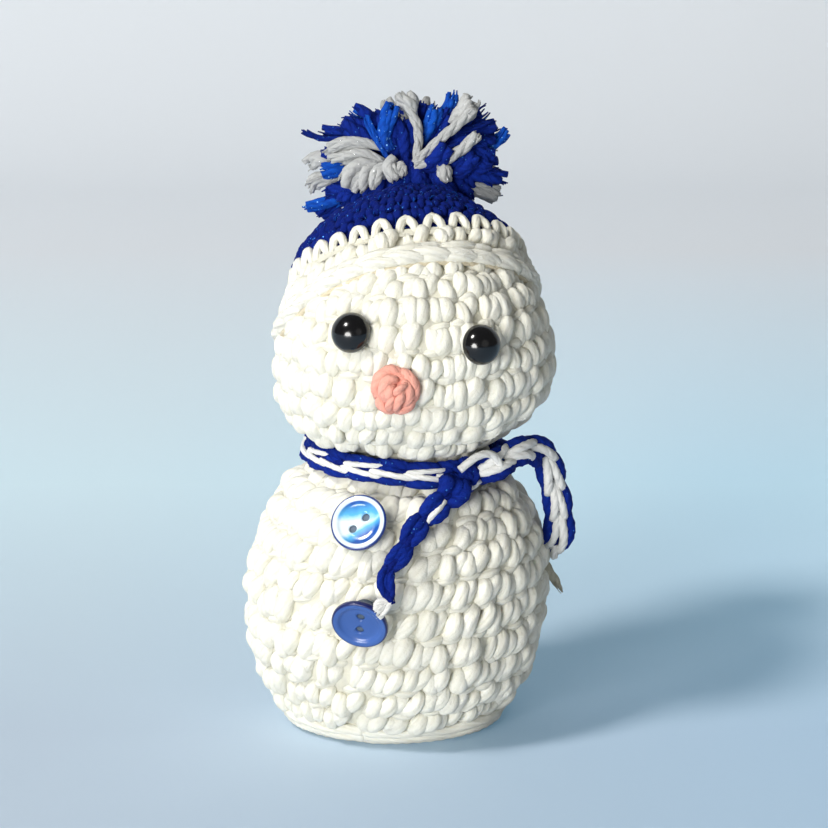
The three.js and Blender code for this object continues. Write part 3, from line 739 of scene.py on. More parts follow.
CARD = PlainFinish("stiff card", (0.48, 0.35, 0.22), (0.34, 0.23, 0.13), 0.8, 0.95, 200.0, 2500.0, 0.05)
WASHER = PlainFinish("washer plastic", (0.82, 0.82, 0.8), (0.7, 0.7, 0.68), 0.4, 0.55)
# Dark blue-grey so the glue seen down the button holes reads as their shade: painted shade
HOLE_SHADE_GLUE = PlainFinish("clear set glue", (0.13, 0.17, 0.22), (0.07, 0.1, 0.14), 0.4, 0.6, 350.0, 1500.0, 0.05, gloss=0.3)
TIE_YARN = PlainFinish("tie yarn", (0.02, 0.06, 0.4), (0.005, 0.01, 0.15), 0.7, 0.9, 400.0, 2000.0, 0.1)
# A thin darker yarn laid in the groove under the brim's edge: a painted shadow line
BRIM_SHADOW_LINE_YARN = YarnFinish("yarn inside the brim's edge", (0.8, 0.73, 0.56), (0.6, 0.52, 0.36), depth=0.3)


@dataclass(frozen=True)
class PearlyButtonPaintedReflection:
    """A pearly button with a painted reflection: pale bands, paler to the left, drift over blue as a painted window
    reflection on its pearly sheen, inside a pale rim painted as a ring highlight, with a dark edge.
    """

    name: str = "pearly blue button"
    deep: Colour = (0.01, 0.09, 0.42)
    sky: Colour = (0.12, 0.5, 0.86)
    white: Colour = (0.8, 0.92, 0.97)
    edge: Colour = (0.006, 0.03, 0.2)
    radius: float = 5.7
    rim: float = 4.3

    def material(self) -> Material:
        """The button's material."""
        material, wiring, shader = blank_material(self.name)
        place = wiring.add("ShaderNodeTexCoord").outputs["Object"]
        across, up, _ = wiring.add("ShaderNodeSeparateXYZ", {0: place}).outputs
        cloud = wiring.noise(place, 240.0, 3.0)
        fine = wiring.noise(place, 1800.0, 2.0)
        # Painted reflection: the pale band runs between the holes, from the lower left to the upper right, and the
        # dish grows paler toward the left
        size = self.radius * MM
        slope = wiring.scaled(across, 0.55, wiring.math("MULTIPLY", up, -1.0))
        side = wiring.scaled(slope, 1 / size, wiring.scaled(cloud, 0.5, -0.25))
        left = wiring.math("MULTIPLY", across, -0.45 / size)
        band = wiring.math("SUBTRACT", 1.0, wiring.math("MULTIPLY", wiring.math("ABSOLUTE", side), 1.15), clamp=True)
        pale = wiring.math("ADD", band, left, clamp=True)
        colour = opaque(self.deep)
        for slope, start, over in ((2.2, -0.45, self.sky), (3.6, -2.2, self.white)):
            colour = wiring.mix(wiring.scaled(pale, slope, start, clamp=True), colour, opaque(over))
        # Painted highlight: the raised rim is mixed most of the way to white
        rim = rim_mask(wiring, self.rim, 4.0)
        colour = wiring.mix(wiring.math("MULTIPLY", rim, 0.82), colour, opaque(self.white))
        colour = wiring.mix(rim_mask(wiring, self.radius - 0.52, 5.0), colour, opaque(self.edge))
        rough = wiring.fit(fine, 0.12, 0.26)
        wiring.feed(shader, {"Base Color": colour, "Roughness": rough, "Coat Weight": 0.5, "Coat Roughness": 0.05})
        relief(wiring, shader, fine, 0.01)
        return material


@dataclass(frozen=True)
class StitchSize:
    """How one crocheted stitch is worked."""

    width: float = 5.6
    height: float = 6.2
    yarn: float = 1.8
    bulge: float = 1.2
    sink: float = 0.0
    drift: float = 0.3
    slant: float = 0.42
    uneven: float = 1.35
    rings: int = 14
    sides: int = 16
    plies: int = 6
    ply_depth: float = 0.034
    twist: float = 0.2


@dataclass
class Fabric:
    """Rounds of stitches worked in one spiral over a round form."""

    outline: Outline
    bend: Callable[[Array], Array]
    turn: Array
    size: StitchSize
    seed: int

    def rounds(self, low: float, high: float) -> tuple[Array, Array, Array]:
        """Where the stitches of some rounds sit.

        Args:
            low: shortest distance along the outline.
            high: longest distance along it.

        Returns:
            For each stitch its distance along, its azimuth and its width.
        """
        size = self.size
        places: list[tuple[float, float, float]] = []
        azimuth, along = 0.0, 0.35 * size.height
        while along < min(high, self.outline.total):
            middle = (np.floor(azimuth / FULL_TURN) + 0.5) * size.height
            ring = float(np.interp(middle, self.outline.length, self.outline.radius))
            count = max(6.0, round(FULL_TURN * ring / size.width)) - size.drift
            if along >= low:
                places.append((along, azimuth, FULL_TURN * ring / count))
            azimuth += FULL_TURN / count
            along = size.height * (azimuth / FULL_TURN + 0.35)
        return tuple(np.array(part) for part in zip(*places))

    def placed(
        self, along: Array, azimuth: Array, across: Array, off: Array, least: float = 1.4
    ) -> tuple[Array, Array]:
        """Points off the fabric's surface.

        Args:
            along: distances along the outline.
            azimuth: radians round the axis.
            across: distances round it from there.
            off: distances off the surface.
            least: the smallest radius that across is turned into an angle with.

        Returns:
            The points and the surface's normals there, in the part's frame.
        """
        spot = np.clip(along, 0, self.outline.total)
        radius = np.maximum(np.interp(spot, self.outline.length, self.outline.radius), least)
        centres, normals = self.outline.point(spot, azimuth + across / radius, off)
        return moved_by(self.bend, centres), normals @ self.turn.T

    def legs(self, low: float, high: float) -> Strands:
        """Both legs of every stitch, as fat strands that tuck in at their ends.

        Args:
            low: shortest distance along the outline.
            high: longest distance along it.

        Returns:
            The strands.
        """
        size = self.size
        rng = np.random.default_rng(self.seed)
        along, azimuth, width = (np.repeat(part, 2)[:, None] for part in self.rounds(low, high))
        count = len(along)
        side = np.tile([-1.0, 1.0], count // 2)[:, None]

        def loose(spread: float) -> Array:
            """A random amount for each leg."""
            return rng.normal(0, spread * size.uneven, (count, 1))

        def pair(spread: float) -> Array:
            """A random amount for each stitch, the same for both of its legs."""
            return np.repeat(rng.normal(0, spread * size.uneven, (count // 2, 1)), 2, axis=0)

        share = np.linspace(0, 1, size.rings)[None, :]
        across = side * width * (0.14 + (0.12 + loose(0.025)) * smooth(share * 1.25))
        across = across + width * (size.slant + loose(0.06) + pair(0.07)) * (share - 0.5)
        across = across + loose(0.18) + pair(0.28) + 0.08 * width * np.sin(np.pi * share) * (0.6 + loose(0.6))
        lift = size.height * (-0.61 + (1.01 + loose(0.06)) * share) + loose(0.25) + pair(0.32) + 0.35 * side
        swell = 1 - np.abs(2 * share**1.2 - 1) ** 2.4
        off = -size.yarn - size.sink - size.bulge * 0.92 + size.bulge * swell * (1 + loose(0.12)) + loose(0.2)
        thick = size.yarn * (1 + loose(0.08))
        lumps = 1 + 0.07 * np.sin(FULL_TURN * (share * rng.uniform(0.7, 1.8, (count, 1)) + rng.random((count, 1))))
        radii = thick * lumps * np.sqrt(1 - 0.88 * np.abs(2 * share - 1) ** 2.6)
        centres, normals = self.placed(along + lift, azimuth, across, off)
        # Painted shade: each leg darkens toward its tucked-in ends
        shade = np.broadcast_to(0.15 + 0.85 * swell, radii.shape)
        tone = rng.random(count)
        return Strands(centres, radii, normals, tone, shade, size.sides, 0.92, size.plies, size.ply_depth, size.twist)

    def bars(self, low: float, high: float) -> Strands:
        """The loops that cross behind, from each stitch to the next.

        Args:
            low: shortest distance along the outline.
            high: longest distance along it.

        Returns:
            The strands.
        """
        size = self.size
        rng = np.random.default_rng(self.seed + 1)
        along, azimuth, width = (part[:, None] for part in self.rounds(low, high))
        count = len(along)
        share = np.linspace(0, 1, 10)[None, :]
        across = width * (1.0 * (share - 0.5) + rng.normal(0.25, 0.1, (count, 1)))
        lift = size.height * (0.46 + 0.24 * (share - 0.5)) + rng.normal(0, 0.2, (count, 1))
        off = -0.62 * size.yarn - 0.75 - 0.9 * np.abs(2 * share - 1) ** 2 + rng.normal(0, 0.15, (count, 1))
        centres, normals = self.placed(along + lift, azimuth, across, off)
        radii = size.yarn * 0.6 * (0.6 + 0.4 * np.sin(np.pi * share)) * (1 + rng.normal(0, 0.1, (count, 1)))
        # Painted shade: the loops behind the stitches are darker throughout
        shade = np.full(radii.shape, 0.55)
        tone = rng.random(count)
        return Strands(centres, radii, normals, tone, shade, 10, 1.0, size.plies, size.ply_depth, size.twist)

    def worked(self, low: float, high: float, more: Sequence[Skin]) -> Skin:
        """The rounds between two distances along the outline, with more skins added."""
        return Skin.merged([self.legs(low, high).skin(), self.bars(low, high).skin(), *more])

    def backing(self, depth: float, low: float, high: float, rows: int = 60, columns: int = 96) -> Skin:
        """A sheet behind the stitches, its yarn painted in shade (shade 0), so that the gaps between them look dark.

        Args:
            depth: how far under the surface.
            low: where it starts along the outline.
            high: where it ends.
            rows: rows of points along the outline.
            columns: points round it.

        Returns:
            The skin.
        """
        along = np.broadcast_to(np.linspace(low, high, rows)[:, None], (rows, columns))
        azimuth = np.broadcast_to(np.arange(columns) * FULL_TURN / columns, (rows, columns))
        points, _ = self.outline.point(along, azimuth, np.full((rows, columns), -depth))
        return Skin.grid(moved_by(self.bend, points), True, 0.0)


def leaned(points: Array) -> Array:
    """The body's own points in the part's frame: level at the floor, leaning above it."""
    share = smooth(points[:, 2:] / 16.0)
    moved = points + share * (STANDING.out(points) - points)
    left = -moved[:, 0] * np.cos(VIEWED) - moved[:, 1] * np.sin(VIEWED)
    height = moved[:, 2]
    bulge = 1.7 * smooth(left / 22) * smooth((height - 0.5) / 9) * (1 - smooth((height - 30) / 16))
    moved[:, 0] -= bulge * np.cos(VIEWED)
    moved[:, 1] -= bulge * np.sin(VIEWED)
    foot = -np.sign(left) * 2.5 * smooth(np.abs(left) / 17) ** 2 * np.exp(-(((height - 1.0) / 4.0) ** 2))
    moved[:, 0] += foot * np.cos(VIEWED)
    moved[:, 1] += foot * np.sin(VIEWED)
    moved[:, 2] = np.maximum(moved[:, 2], 0.06)
    return moved


def hang(spots: Array) -> Array:
    """How much lower the hat's brim hangs at points of its own frame, at the viewer's left."""
    azimuth = np.arctan2(spots[:, 0], -spots[:, 1])
    return 3.2 * np.exp(-(((np.degrees(azimuth) + 60) / 38) ** 2))


def pressed(points: Array) -> Array:
    """The head's own points in the part's frame, pressed in where the hat sits."""
    right = points[:, :1] * np.cos(VIEWED) + points[:, 1:2] * np.sin(VIEWED)
    jaw = smooth((-points[:, 2:] - 4) / 11.0) * (-1.1 - 2.2 * smooth(right / 18)) * np.array([1.0, 0.0, 0.0])
    cheek = 0.9 * smooth(right / 22) * np.exp(-((points[:, 2:] / 7.0) ** 2)) * np.array([1.0, 0.0, 0.0])
    spots = HAT.into(HEAD.out(points + jaw + cheek))
    height = spots[:, 2]
    across = np.hypot(spots[:, 0], spots[:, 1])
    start = BRIM_LOW - 4.0 - hang(spots)
    easing = 2.9 * (1 - smooth((height - start) / 3.0))
    room = hat_radius(np.clip(height, 0, CROWN_HIGH - 4)) - 2.8 + easing
    tight = np.where(height > start, np.minimum(across, room), across)
    spots[:, :2] *= (tight / np.maximum(across, 1e-6))[:, None]
    return HAT.out(spots)


def slumped(points: Array) -> Array:
    """The hat's own points in the part's frame, its top hanging over."""
    height = points[:, 2]
    rise = np.clip((height - BRIM_HIGH) / (CROWN_HIGH - BRIM_HIGH), 0, 1.2)
    moved = points.copy()
    moved[:, 2] -= hang(points) * (1 - smooth((height - BRIM_LOW) / 8.0))
    low, here = (hat_radius(np.clip(each, 0, CROWN_HIGH)) for each in (moved[:, 2], height))
    moved[:, :2] *= np.where(height < BRIM_LOW + 8, low / np.maximum(here, 1), 1.0)[:, None]
    moved[:, 0] += CROWN_SLUMP * rise**2
    moved[:, 0] += 3.0 * smooth(points[:, 0] / 24) * np.exp(-(((height - 19.5) / 5.5) ** 2))
    moved[:, 0] += 1.3 * smooth(-points[:, 0] / 24) * np.exp(-(((height - 14.0) / 5.0) ** 2))
    return HAT.out(moved)


def frayed(
    rng: Random,
    root: Array,
    tip: Array,
    width: float,
    fibres: int,
    thickness: float,
    bow: Array | None = None,
    start: float = 0.15,
    curl: float = 0.35,
) -> Strands:
    """A lock of loose fibres that opens from its root to a ragged tip.

    Args:
        rng: the piece's own random numbers.
        root: where it starts.
        tip: where its longest fibres end.
        width: half of its width where it is fullest.
        fibres: how many.
        thickness: radius of one fibre.
        bow: how far its middle bends aside.
        start: how wide the root is, as a share of width.
        curl: how far single fibres stray.

    Returns:
        The strands.
    """
    rings = 8
    share = np.linspace(0, 1, rings)[None, :]
    line = tip - root
    along = unit(line)
    across = unit(np.cross(along, np.array([0.21, 0.34, 0.92])))
    third = np.cross(along, across)
    angle = rng.random(fibres) * FULL_TURN
    reach = np.sqrt(rng.random(fibres))
    length = rng.uniform(0.8, 1.06, fibres)[:, None]
    reached = share * length
    open_up = width * (start + (1 - start) * smooth(reached / 0.72)) * (1 - 0.22 * smooth((reached - 0.75) / 0.3))
    stray = [
        curl * share * np.sin(rng.random((fibres, 1)) * 6 + share * rng.uniform(3, 9, (fibres, 1)))
        for _ in range(2)
    ]
    first = (reach * np.cos(angle))[:, None] * open_up + stray[0]
    second = (reach * np.sin(angle))[:, None] * open_up + stray[1]
    middle = root + reached[..., None] * line
    if bow is not None:
        middle = middle + np.sin(np.pi * share * length * 0.85)[..., None] * bow
    centres = middle + first[..., None] * across + second[..., None] * third
    thinner = np.broadcast_to(1 - 0.62 * smooth((share - 0.55) / 0.45), (fibres, rings))
    radii = thickness * thinner * rng.uniform(0.75, 1.2, (fibres, 1))
    normals = np.broadcast_to(unit(second[..., None] * third + first[..., None] * across + 0.01), centres.shape)
    shade = np.broadcast_to(0.35 + 0.65 * share, radii.shape)
    return Strands(centres, radii, normals, rng.random(fibres), shade, 5, 1.0, 1, 0.0)


def opened(
    rng: Random, path: Array, width: float, face: Array, plies: int = 4, loose: int = 10
) -> list[Strands]:
    """A cut strand whose plies have opened, with a ragged end.

    Args:
        rng: the piece's own random numbers.
        path: points along it, from its root.
        width: half of its width where it is fullest.
        face: a direction that it doesn't run along.
        plies: how many plies show.
        loose: how many single fibres stand out at its end.

    Returns:
        Its plies and the fibres round them.
    """
    rings = 11
    share = np.linspace(0, 1, rings)
    spots = np.linspace(0, len(path) - 1, rings)
    line = read_between(spots, np.arange(len(path)), path)
    run = unit(np.gradient(line, axis=0))
    across = unit(np.cross(run, face))
    third = np.cross(across, run)
    swell = np.sin(np.pi * (0.14 + 0.68 * share)) ** 0.8
    lines, thick = [], []
    start = rng.uniform(0, FULL_TURN)
    for ply in range(plies):
        turn = start + FULL_TURN * (ply + rng.uniform(-0.2, 0.2)) / plies + rng.uniform(0.6, 1.6) * share
        reach = width * (0.16 + 0.42 * smooth(share * 1.3)) * rng.uniform(0.8, 1.15)
        wave = 0.16 * width * np.sin(share * rng.uniform(4, 9) + rng.uniform(0, 6))
        ply_line = line + (reach * np.cos(turn) + wave)[:, None] * across + (reach * np.sin(turn))[:, None] * third
        keep = np.linspace(0, rng.uniform(0.84, 1.0) * (rings - 1), rings)
        lines.append(read_between(keep, np.arange(rings), ply_line))
        thick.append(width * 0.5 * swell * rng.uniform(0.85, 1.15))
    shade = np.broadcast_to(0.45 + 0.55 * smooth(share * 1.8), (plies, rings))
    normals = np.broadcast_to(third, (plies, rings, 3))
    body = Strands(np.array(lines), np.array(thick), normals, rng.random(plies), shade, 9, 1.0, 2, 0.14, 1.1)
    tip = line[-1] - run[-1] * 0.25
    root = line[rings // 2]
    bow = line[3 * rings // 4] - (root + tip) / 2
    ends = frayed(rng, root, tip, width * 0.85, loose, 0.36, bow, 0.85, 0.2)
    return [body, ends]


def gathered(strands: Sequence[Strands]) -> Skin:
    """Several sets of strands as one skin."""
    return Skin.merged([each.skin() for each in strands])


@dataclass
class Body:
    """The body's crocheted ball."""

    size: StitchSize = field(default_factory=StitchSize)
    backing_depth: float = 1.9
    corner: float = 1.4

    def build(self) -> None:
        """Builds the cover in two pieces and dresses the hidden solids."""
        lead = np.stack([np.linspace(0, BASE_RADIUS - self.corner, 60), np.zeros(60)], axis=-1)
        outline = Outline.of(body_radius, 0.25, NECK_HEIGHT, lead)
        fabric = Fabric(outline, leaned, STANDING.turn, self.size, 11)
        white = WHITE_YARN.material()
        half = outline.total * 0.57
        backing = fabric.backing(self.backing_depth, 0.0, outline.total)
        foot = float(lead[-1, 0])
        turn = np.linspace(0, FULL_TURN, 241)
        rim = []
        for number, (along, radius) in enumerate(((foot + 0.5, 1.25), (foot + 2.9, 1.3), (foot + 5.0, 1.2))):
            wave = 0.25 * np.sin(turn * 11 + number) + 0.15 * np.sin(turn * 17 + 2 * number)
            line, normals = outline.point(along + wave, turn, np.full_like(turn, -radius - 0.05 * number))
            rim.append(rope(leaned(line), radius, 0.95, normals))
        for name, low, high, more in (
            ("body_rounds_low", foot + 4.5, half, [backing, gathered(rim)]),
            ("body_rounds_high", half, outline.total - 1.0, []),
        ):
            skin = fabric.worked(low, high, more)
            skin.points[:, 2] = np.maximum(skin.points[:, 2], 0.03)
            piece = add_mesh(name, skin, white)
            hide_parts("body_cover")
            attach(piece, "figure")
            log.info("%s: %d points", name, len(skin.points))
        self.yarn_tail()
        dress("body_stuffing", FILLING)
        dress("base_disc", CARD)

    def yarn_tail(self) -> None:
        """The stiff cut end of the body's yarn, low on the viewer's right."""
        rng = np.random.default_rng(5)
        route = off_body([(116.6, 24.4, -1.6), (116.8, 26.0, 0.6), (117.4, 28.4, 2.9), (118.6, 31.2, 4.7)])
        line = smooth_path(route, 0.5)
        share = np.linspace(0, 1, len(line))
        radii = (2.1 - 1.95 * share**0.9)[None]
        normals = np.broadcast_to(facing(np.radians(16.0)), line.shape)[None]
        end = Strands(line[None], radii, normals, np.array([0.7]), np.full(radii.shape, 0.9), 12, 0.6, 2, 0.12, 0.8)
        fibres = frayed(rng, route[1], route[3], 0.6, 8, 0.16, None, 0.8, 0.1)
        # Painted shade: its yarn is the body's white yarn painted darker
        piece = add_mesh("cut_yarn_end", gathered([end, fibres]), TAIL_YARN_PAINTED_SHADE.material())
        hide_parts("body_yarn_tail")
        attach(piece, "figure")


def dress(node: str, finish: PlainFinish) -> None:
    """Gives one of the solids its finish."""
    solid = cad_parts[node]
    solid.data.materials.clear()
    solid.data.materials.append(finish.material())


def off_body(route: Sequence[tuple[float, float, float]]) -> Array:
    """Points off the body's surface.

    Args:
        route: for each point its azimuth in degrees, its distance below the neck and its distance off the surface.

    Returns:
        The points in the part's frame.
    """
    azimuth, below, lift = np.array(route, float).T
    surface = np.where(below > 0, body_radius(NECK_HEIGHT - below), NECK_RADIUS)
    spots = facing(np.radians(azimuth)) * (surface + lift)[:, None]
    spots[:, 2] = NECK_HEIGHT - below
    return STANDING.out(spots)


@dataclass
class Head:
    """The head's crocheted ball with its eyes and nose."""

    size: StitchSize = field(default_factory=lambda: StitchSize(width=5.3, height=5.6, yarn=1.75, slant=0.1))
    backing_depth: float = 1.7
    eye_radius: float = 4.0
    eye_dome: float = 4.1
    eye_places: tuple[tuple[str, float, float], ...] = (("left", -23.5, 9.4), ("right", 30.5, 8.1))
    nose_azimuth: float = -3.5
    nose_height: float = -0.5
    nose_strands: tuple[tuple[float, float, tuple[tuple[float, float], ...]], ...] = (
        (1.25, 3.0, ((0.9, 3.2), (-0.9, 3.9), (-2.9, 2.6), (-3.7, 0.5), (-3.4, -1.6))),
        (1.15, 3.9, ((0.2, 2.3), (-1.3, 2.2), (-2.1, 0.9), (-2.0, -0.6), (-1.5, -1.7))),
        (1.0, 3.9, ((-0.3, 1.2), (-0.9, 0.3), (-0.9, -0.9), (-1.2, -1.9))),
        (1.15, 3.0, ((0.8, 3.6), (2.3, 3.1), (3.5, 1.6), (3.8, -0.4), (3.3, -2.0))),
        (1.1, 3.7, ((1.7, 1.9), (2.6, 0.9), (2.8, -0.9), (2.0, -2.6))),
        (0.9, 4.1, ((-0.2, -0.5), (-0.5, -1.6), (-0.9, -2.8), (-1.1, -3.7))),
        (0.95, 4.2, ((1.7, 0.6), (1.3, -0.9), (0.7, -2.3), (0.4, -3.7))),
        (1.1, 3.1, ((-2.7, -1.6), (-2.8, -2.7), (-1.7, -3.7), (-0.3, -4.0))),
        (1.05, 3.0, ((0.2, -4.0), (1.7, -3.7), (2.8, -2.8), (3.5, -1.3))),
        (0.75, 4.3, ((0.2, -0.2), (1.2, 1.0), (2.3, 1.7))),
    )

    def build(self) -> None:
        """Builds the cover in two pieces, the eyes and the nose."""
        outline = Outline.of(head_radius, -HEAD_DROP, HEAD_RISE)
        fabric = Fabric(outline, pressed, HEAD.turn, self.size, 23)
        white = bpy.data.materials[WHITE_YARN.name]
        half = outline.total * 0.46
        backing = fabric.backing(self.backing_depth, 0.0, outline.total)
        for name, low, high, more in (
            ("head_rounds_low", 0.0, half, [backing]),
            ("head_rounds_high", half, outline.total, []),
        ):
            skin = fabric.worked(low, high, more)
            piece = add_mesh(name, skin, white)
            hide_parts("head_cover")
            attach(piece, "figure")
            log.info("%s: %d points", name, len(skin.points))
        self.seam()
        for side, azimuth, height in self.eye_places:
            self.eye(side, azimuth, height)
        self.nose()
        dress("head_stuffing", FILLING)

    def seam(self) -> None:
        """Slanting stitches that join the head to the body."""
        count, rings = 30, 6
        rng = np.random.default_rng(3)
        share = np.linspace(0, 1, rings)[None, :]
        start = (np.arange(count) * FULL_TURN / count)[:, None]
        azimuth = start + 0.16 * share
        radius = NECK_RADIUS + 0.4 + 0.9 * np.sin(np.pi * share) + np.zeros((count, 1))
        spots = facing(azimuth) * radius[..., None]
        spots[..., 2] = NECK_HEIGHT + NECK_SPACE / 2 + 1.3 * (2 * share - 1)
        centres = moved_by(STANDING.out, spots)
        radii = np.full((count, rings), 0.75)
        strands = Strands(centres, radii, facing(azimuth), rng.random(count), np.full((count, rings), 0.6), 8)
        piece = add_mesh("neck_stitches", strands.skin(), bpy.data.materials[WHITE_YARN.name])
        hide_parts("neck_seam")
        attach(piece, "figure")

    def eye(self, side: str, azimuth: float, height: float) -> None:
        """A safety eye: a glossy dome with a lip, on its shank.

        Args:
            side: "left" or "right" of the viewer.
            azimuth: degrees from the face's direction.
            height: above the head's widest round.
        """
        place = HEAD.seat(azimuth, height, float(head_radius(height)), pitch_of(head_radius, height))
        shank, lip = 1.45, 0.55
        profile = [(0.001, -8.5), (shank - 0.3, -8.5)]
        for rib in range(4):
            foot = -8.1 + 1.4 * rib
            profile += [(shank - 0.35, foot), (shank, foot + 0.8), (shank - 0.35, foot + 0.86)]
        profile += [(shank, -2.2), (shank, 0.3), (self.eye_radius - 0.25, 0.3), (self.eye_radius - 0.06, 0.4)]
        for turn in np.linspace(0, np.pi / 2, 20):
            reach = self.eye_radius * np.cos(turn)
            profile.append((max(float(reach), 0.001), lip + (self.eye_dome - lip) * float(np.sin(turn))))
        piece = add_mesh(f"{side}_safety_eye", lathe(profile, 64, place), BLACK_EYE.material())
        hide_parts(f"eye_{side}")
        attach(piece, "figure")
        dress(f"eye_washer_{side}", WASHER)

    def nose(self) -> None:
        """A nub of six stitches drawn in round a ring."""
        rng = np.random.default_rng(8)
        radius = float(head_radius(self.nose_height)) + 0.1
        place = HEAD.seat(self.nose_azimuth, self.nose_height, radius, 0.0)
        lines, thick, shades = [], [], []
        for width, top, route in self.nose_strands:
            flat = smooth_path(np.array([(*spot, 0.0) for spot in route]), 0.3)
            flat = flat[np.linspace(0, len(flat) - 1, 14).round().astype(int)]
            share = np.linspace(0, 1, len(flat))
            reach = np.hypot(flat[:, 0], flat[:, 1])
            flat[:, 2] = top * np.sqrt(np.clip(1 - (reach / 5.6) ** 2, 0.05, 1)) - width
            flat[:, 2] -= 0.9 * np.abs(2 * share - 1) ** 3
            lines.append(flat)
            thick.append(width * (0.55 + 0.45 * np.sin(np.pi * (0.1 + 0.8 * share)) ** 0.6))
            shades.append(0.35 + 0.65 * np.sin(np.pi * (0.06 + 0.88 * share)) ** 0.6)
        centres = moved_by(place.out, np.array(lines))
        normals = np.broadcast_to(place.turn[:, 2], centres.shape)
        tone = rng.random(len(lines))
        petals = Strands(centres, np.array(thick), normals, tone, np.array(shades), 12, 1.0, 3, 0.08, 0.8)
        core = [(0.01, 0.2), (3.9, 0.2), (4.2, 0.9), (3.6, 1.7), (2.0, 2.1), (0.01, 2.2)]
        middle = lathe(core, 32, place)
        # Painted shade: the ring's middle, between the petals, is darkened
        middle.shade[:] = 0.25
        piece = add_mesh("nose_nub", Skin.merged([petals.skin(), middle]), PINK_YARN.material())
        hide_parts("nose")
        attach(piece, "figure")


@dataclass(frozen=True)
class Chain:
    """A crocheted chain of two strands held together."""

    pitch: float
    half_width: float
    seed: int
    blue: float = 0.92
    white: float = 0.68
    spread: float = 0.7
    reach: float = 1.75
    opening: float = 0.62
    shown: tuple[tuple[bool, bool], ...] = ((True, True), (False, True))
    uneven: float = 1.0
    pinch: float = 0.7
    taper: float = 0.0

    def loops(self, path: Array, normals: Array, closed: bool = False) -> tuple[Strands, Strands]:
        """The chain's strands along a path.

        Args:
            path: points close together along the chain.
            normals: which way the chain's face looks at each.
            closed: whether it runs round to its start.

        Returns:
            The blue strands and the white strands.
        """
        rng = np.random.default_rng(self.seed)
        length = lengths_along(path)
        tangent = unit(np.gradient(path, axis=0))
        stitches = max(1, round(length[-1] / self.pitch))
        pitch = length[-1] / stitches
        share = np.linspace(0, 1, 12)
        arch = np.sin(np.pi * (0.03 + 0.84 * share))
        sets: dict[bool, list[tuple[Array, Array, Array]]] = {True: [], False: []}
        for number in range(stitches):
            shown = self.shown[number % len(self.shown)]
            for side, seen in zip((-1, 1), shown):
                for inner in (False, True):
                    white = inner and seen
                    narrow = 1 - self.taper * number / stitches
                    radius = (self.white if white else self.blue) * narrow * rng.uniform(0.93, 1.07)
                    half = self.half_width * narrow
                    if white:
                        aside, off = half * self.opening * share**0.9, half * (-0.4 + 0.98 * arch**0.6)
                    elif inner:
                        aside, off = half * self.opening * share**0.9, half * (-0.62 + 0.85 * arch)
                    else:
                        wide = np.sin(np.pi * (0.06 + 0.84 * share)) ** 0.8
                        aside = half * self.spread * (1 - self.pinch + self.pinch * wide)
                        off = half * (-0.55 + 0.85 * arch)
                    stretch = (0.98 if white else 0.8 if inner else 1.0) * self.reach
                    spot = pitch * (number - 0.3 + stretch * share) + rng.normal(0, 0.12 * self.uneven)
                    spot = spot % length[-1] if closed else np.clip(spot, 0, length[-1])
                    centre = read_between(spot, length, path)
                    run = unit(read_between(spot, length, tangent))
                    across = unit(np.cross(run, read_between(spot, length, normals)))
                    face = np.cross(across, run)
                    stray = rng.normal(0, 0.1 * self.uneven, 2)
                    line = centre + across * (side * aside + stray[0])[:, None] + face * (off + stray[1])[:, None]
                    thin = 0.2 if white else 0.45
                    thick = radius * (1 - thin + thin * np.sin(np.pi * (0.08 + 0.84 * share)) ** 0.6)
                    sets[white].append((line, thick, face))
        made = []
        for white in (False, True):
            lines, thick, faces = (np.array(part) for part in zip(*sets[white]))
            shade = np.broadcast_to(0.3 + 0.7 * arch**0.7, thick.shape)
            made.append(Strands(lines, thick, faces, rng.random(len(lines)), shade, 12, 1.0, 3, 0.1, 1.0))
        return made[0], made[1]


def smooth_path(points: Array, step: float = 0.4) -> Array:
    """A smooth line through points, sampled evenly.

    Args:
        points: the route.
        step: distance between two samples.

    Returns:
        The samples.
    """
    padded = np.concatenate([[2 * points[0] - points[1]], points, [2 * points[-1] - points[-2]]])
    fine = []
    for start in range(1, len(padded) - 2):
        before, here, there, beyond = padded[start - 1 : start + 3]
        share = np.linspace(0, 1, 24, endpoint=False)[:, None]
        fine.append(
            0.5 * (2 * here + (there - before) * share + (2 * before - 5 * here + 4 * there - beyond) * share**2
                   + (3 * here - before - 3 * there + beyond) * share**3)
        )
    line = np.concatenate([*fine, points[-1:]])
    length = lengths_along(line)
    even = np.linspace(0, length[-1], max(2, round(length[-1] / step)))
    return read_between(even, length, line)


def rope(path: Array, radius: float, shade: float = 0.3, normals: Array | None = None) -> Strands:
    """One plain strand along a path."""
    if normals is None:
        normals = np.broadcast_to(np.array([0.1, 0.2, 0.97]), path.shape)
    shape = (1, len(path))
    return Strands(path[None], np.full(shape, radius), normals[None], np.array([0.4]), np.full(shape, shade), 10)


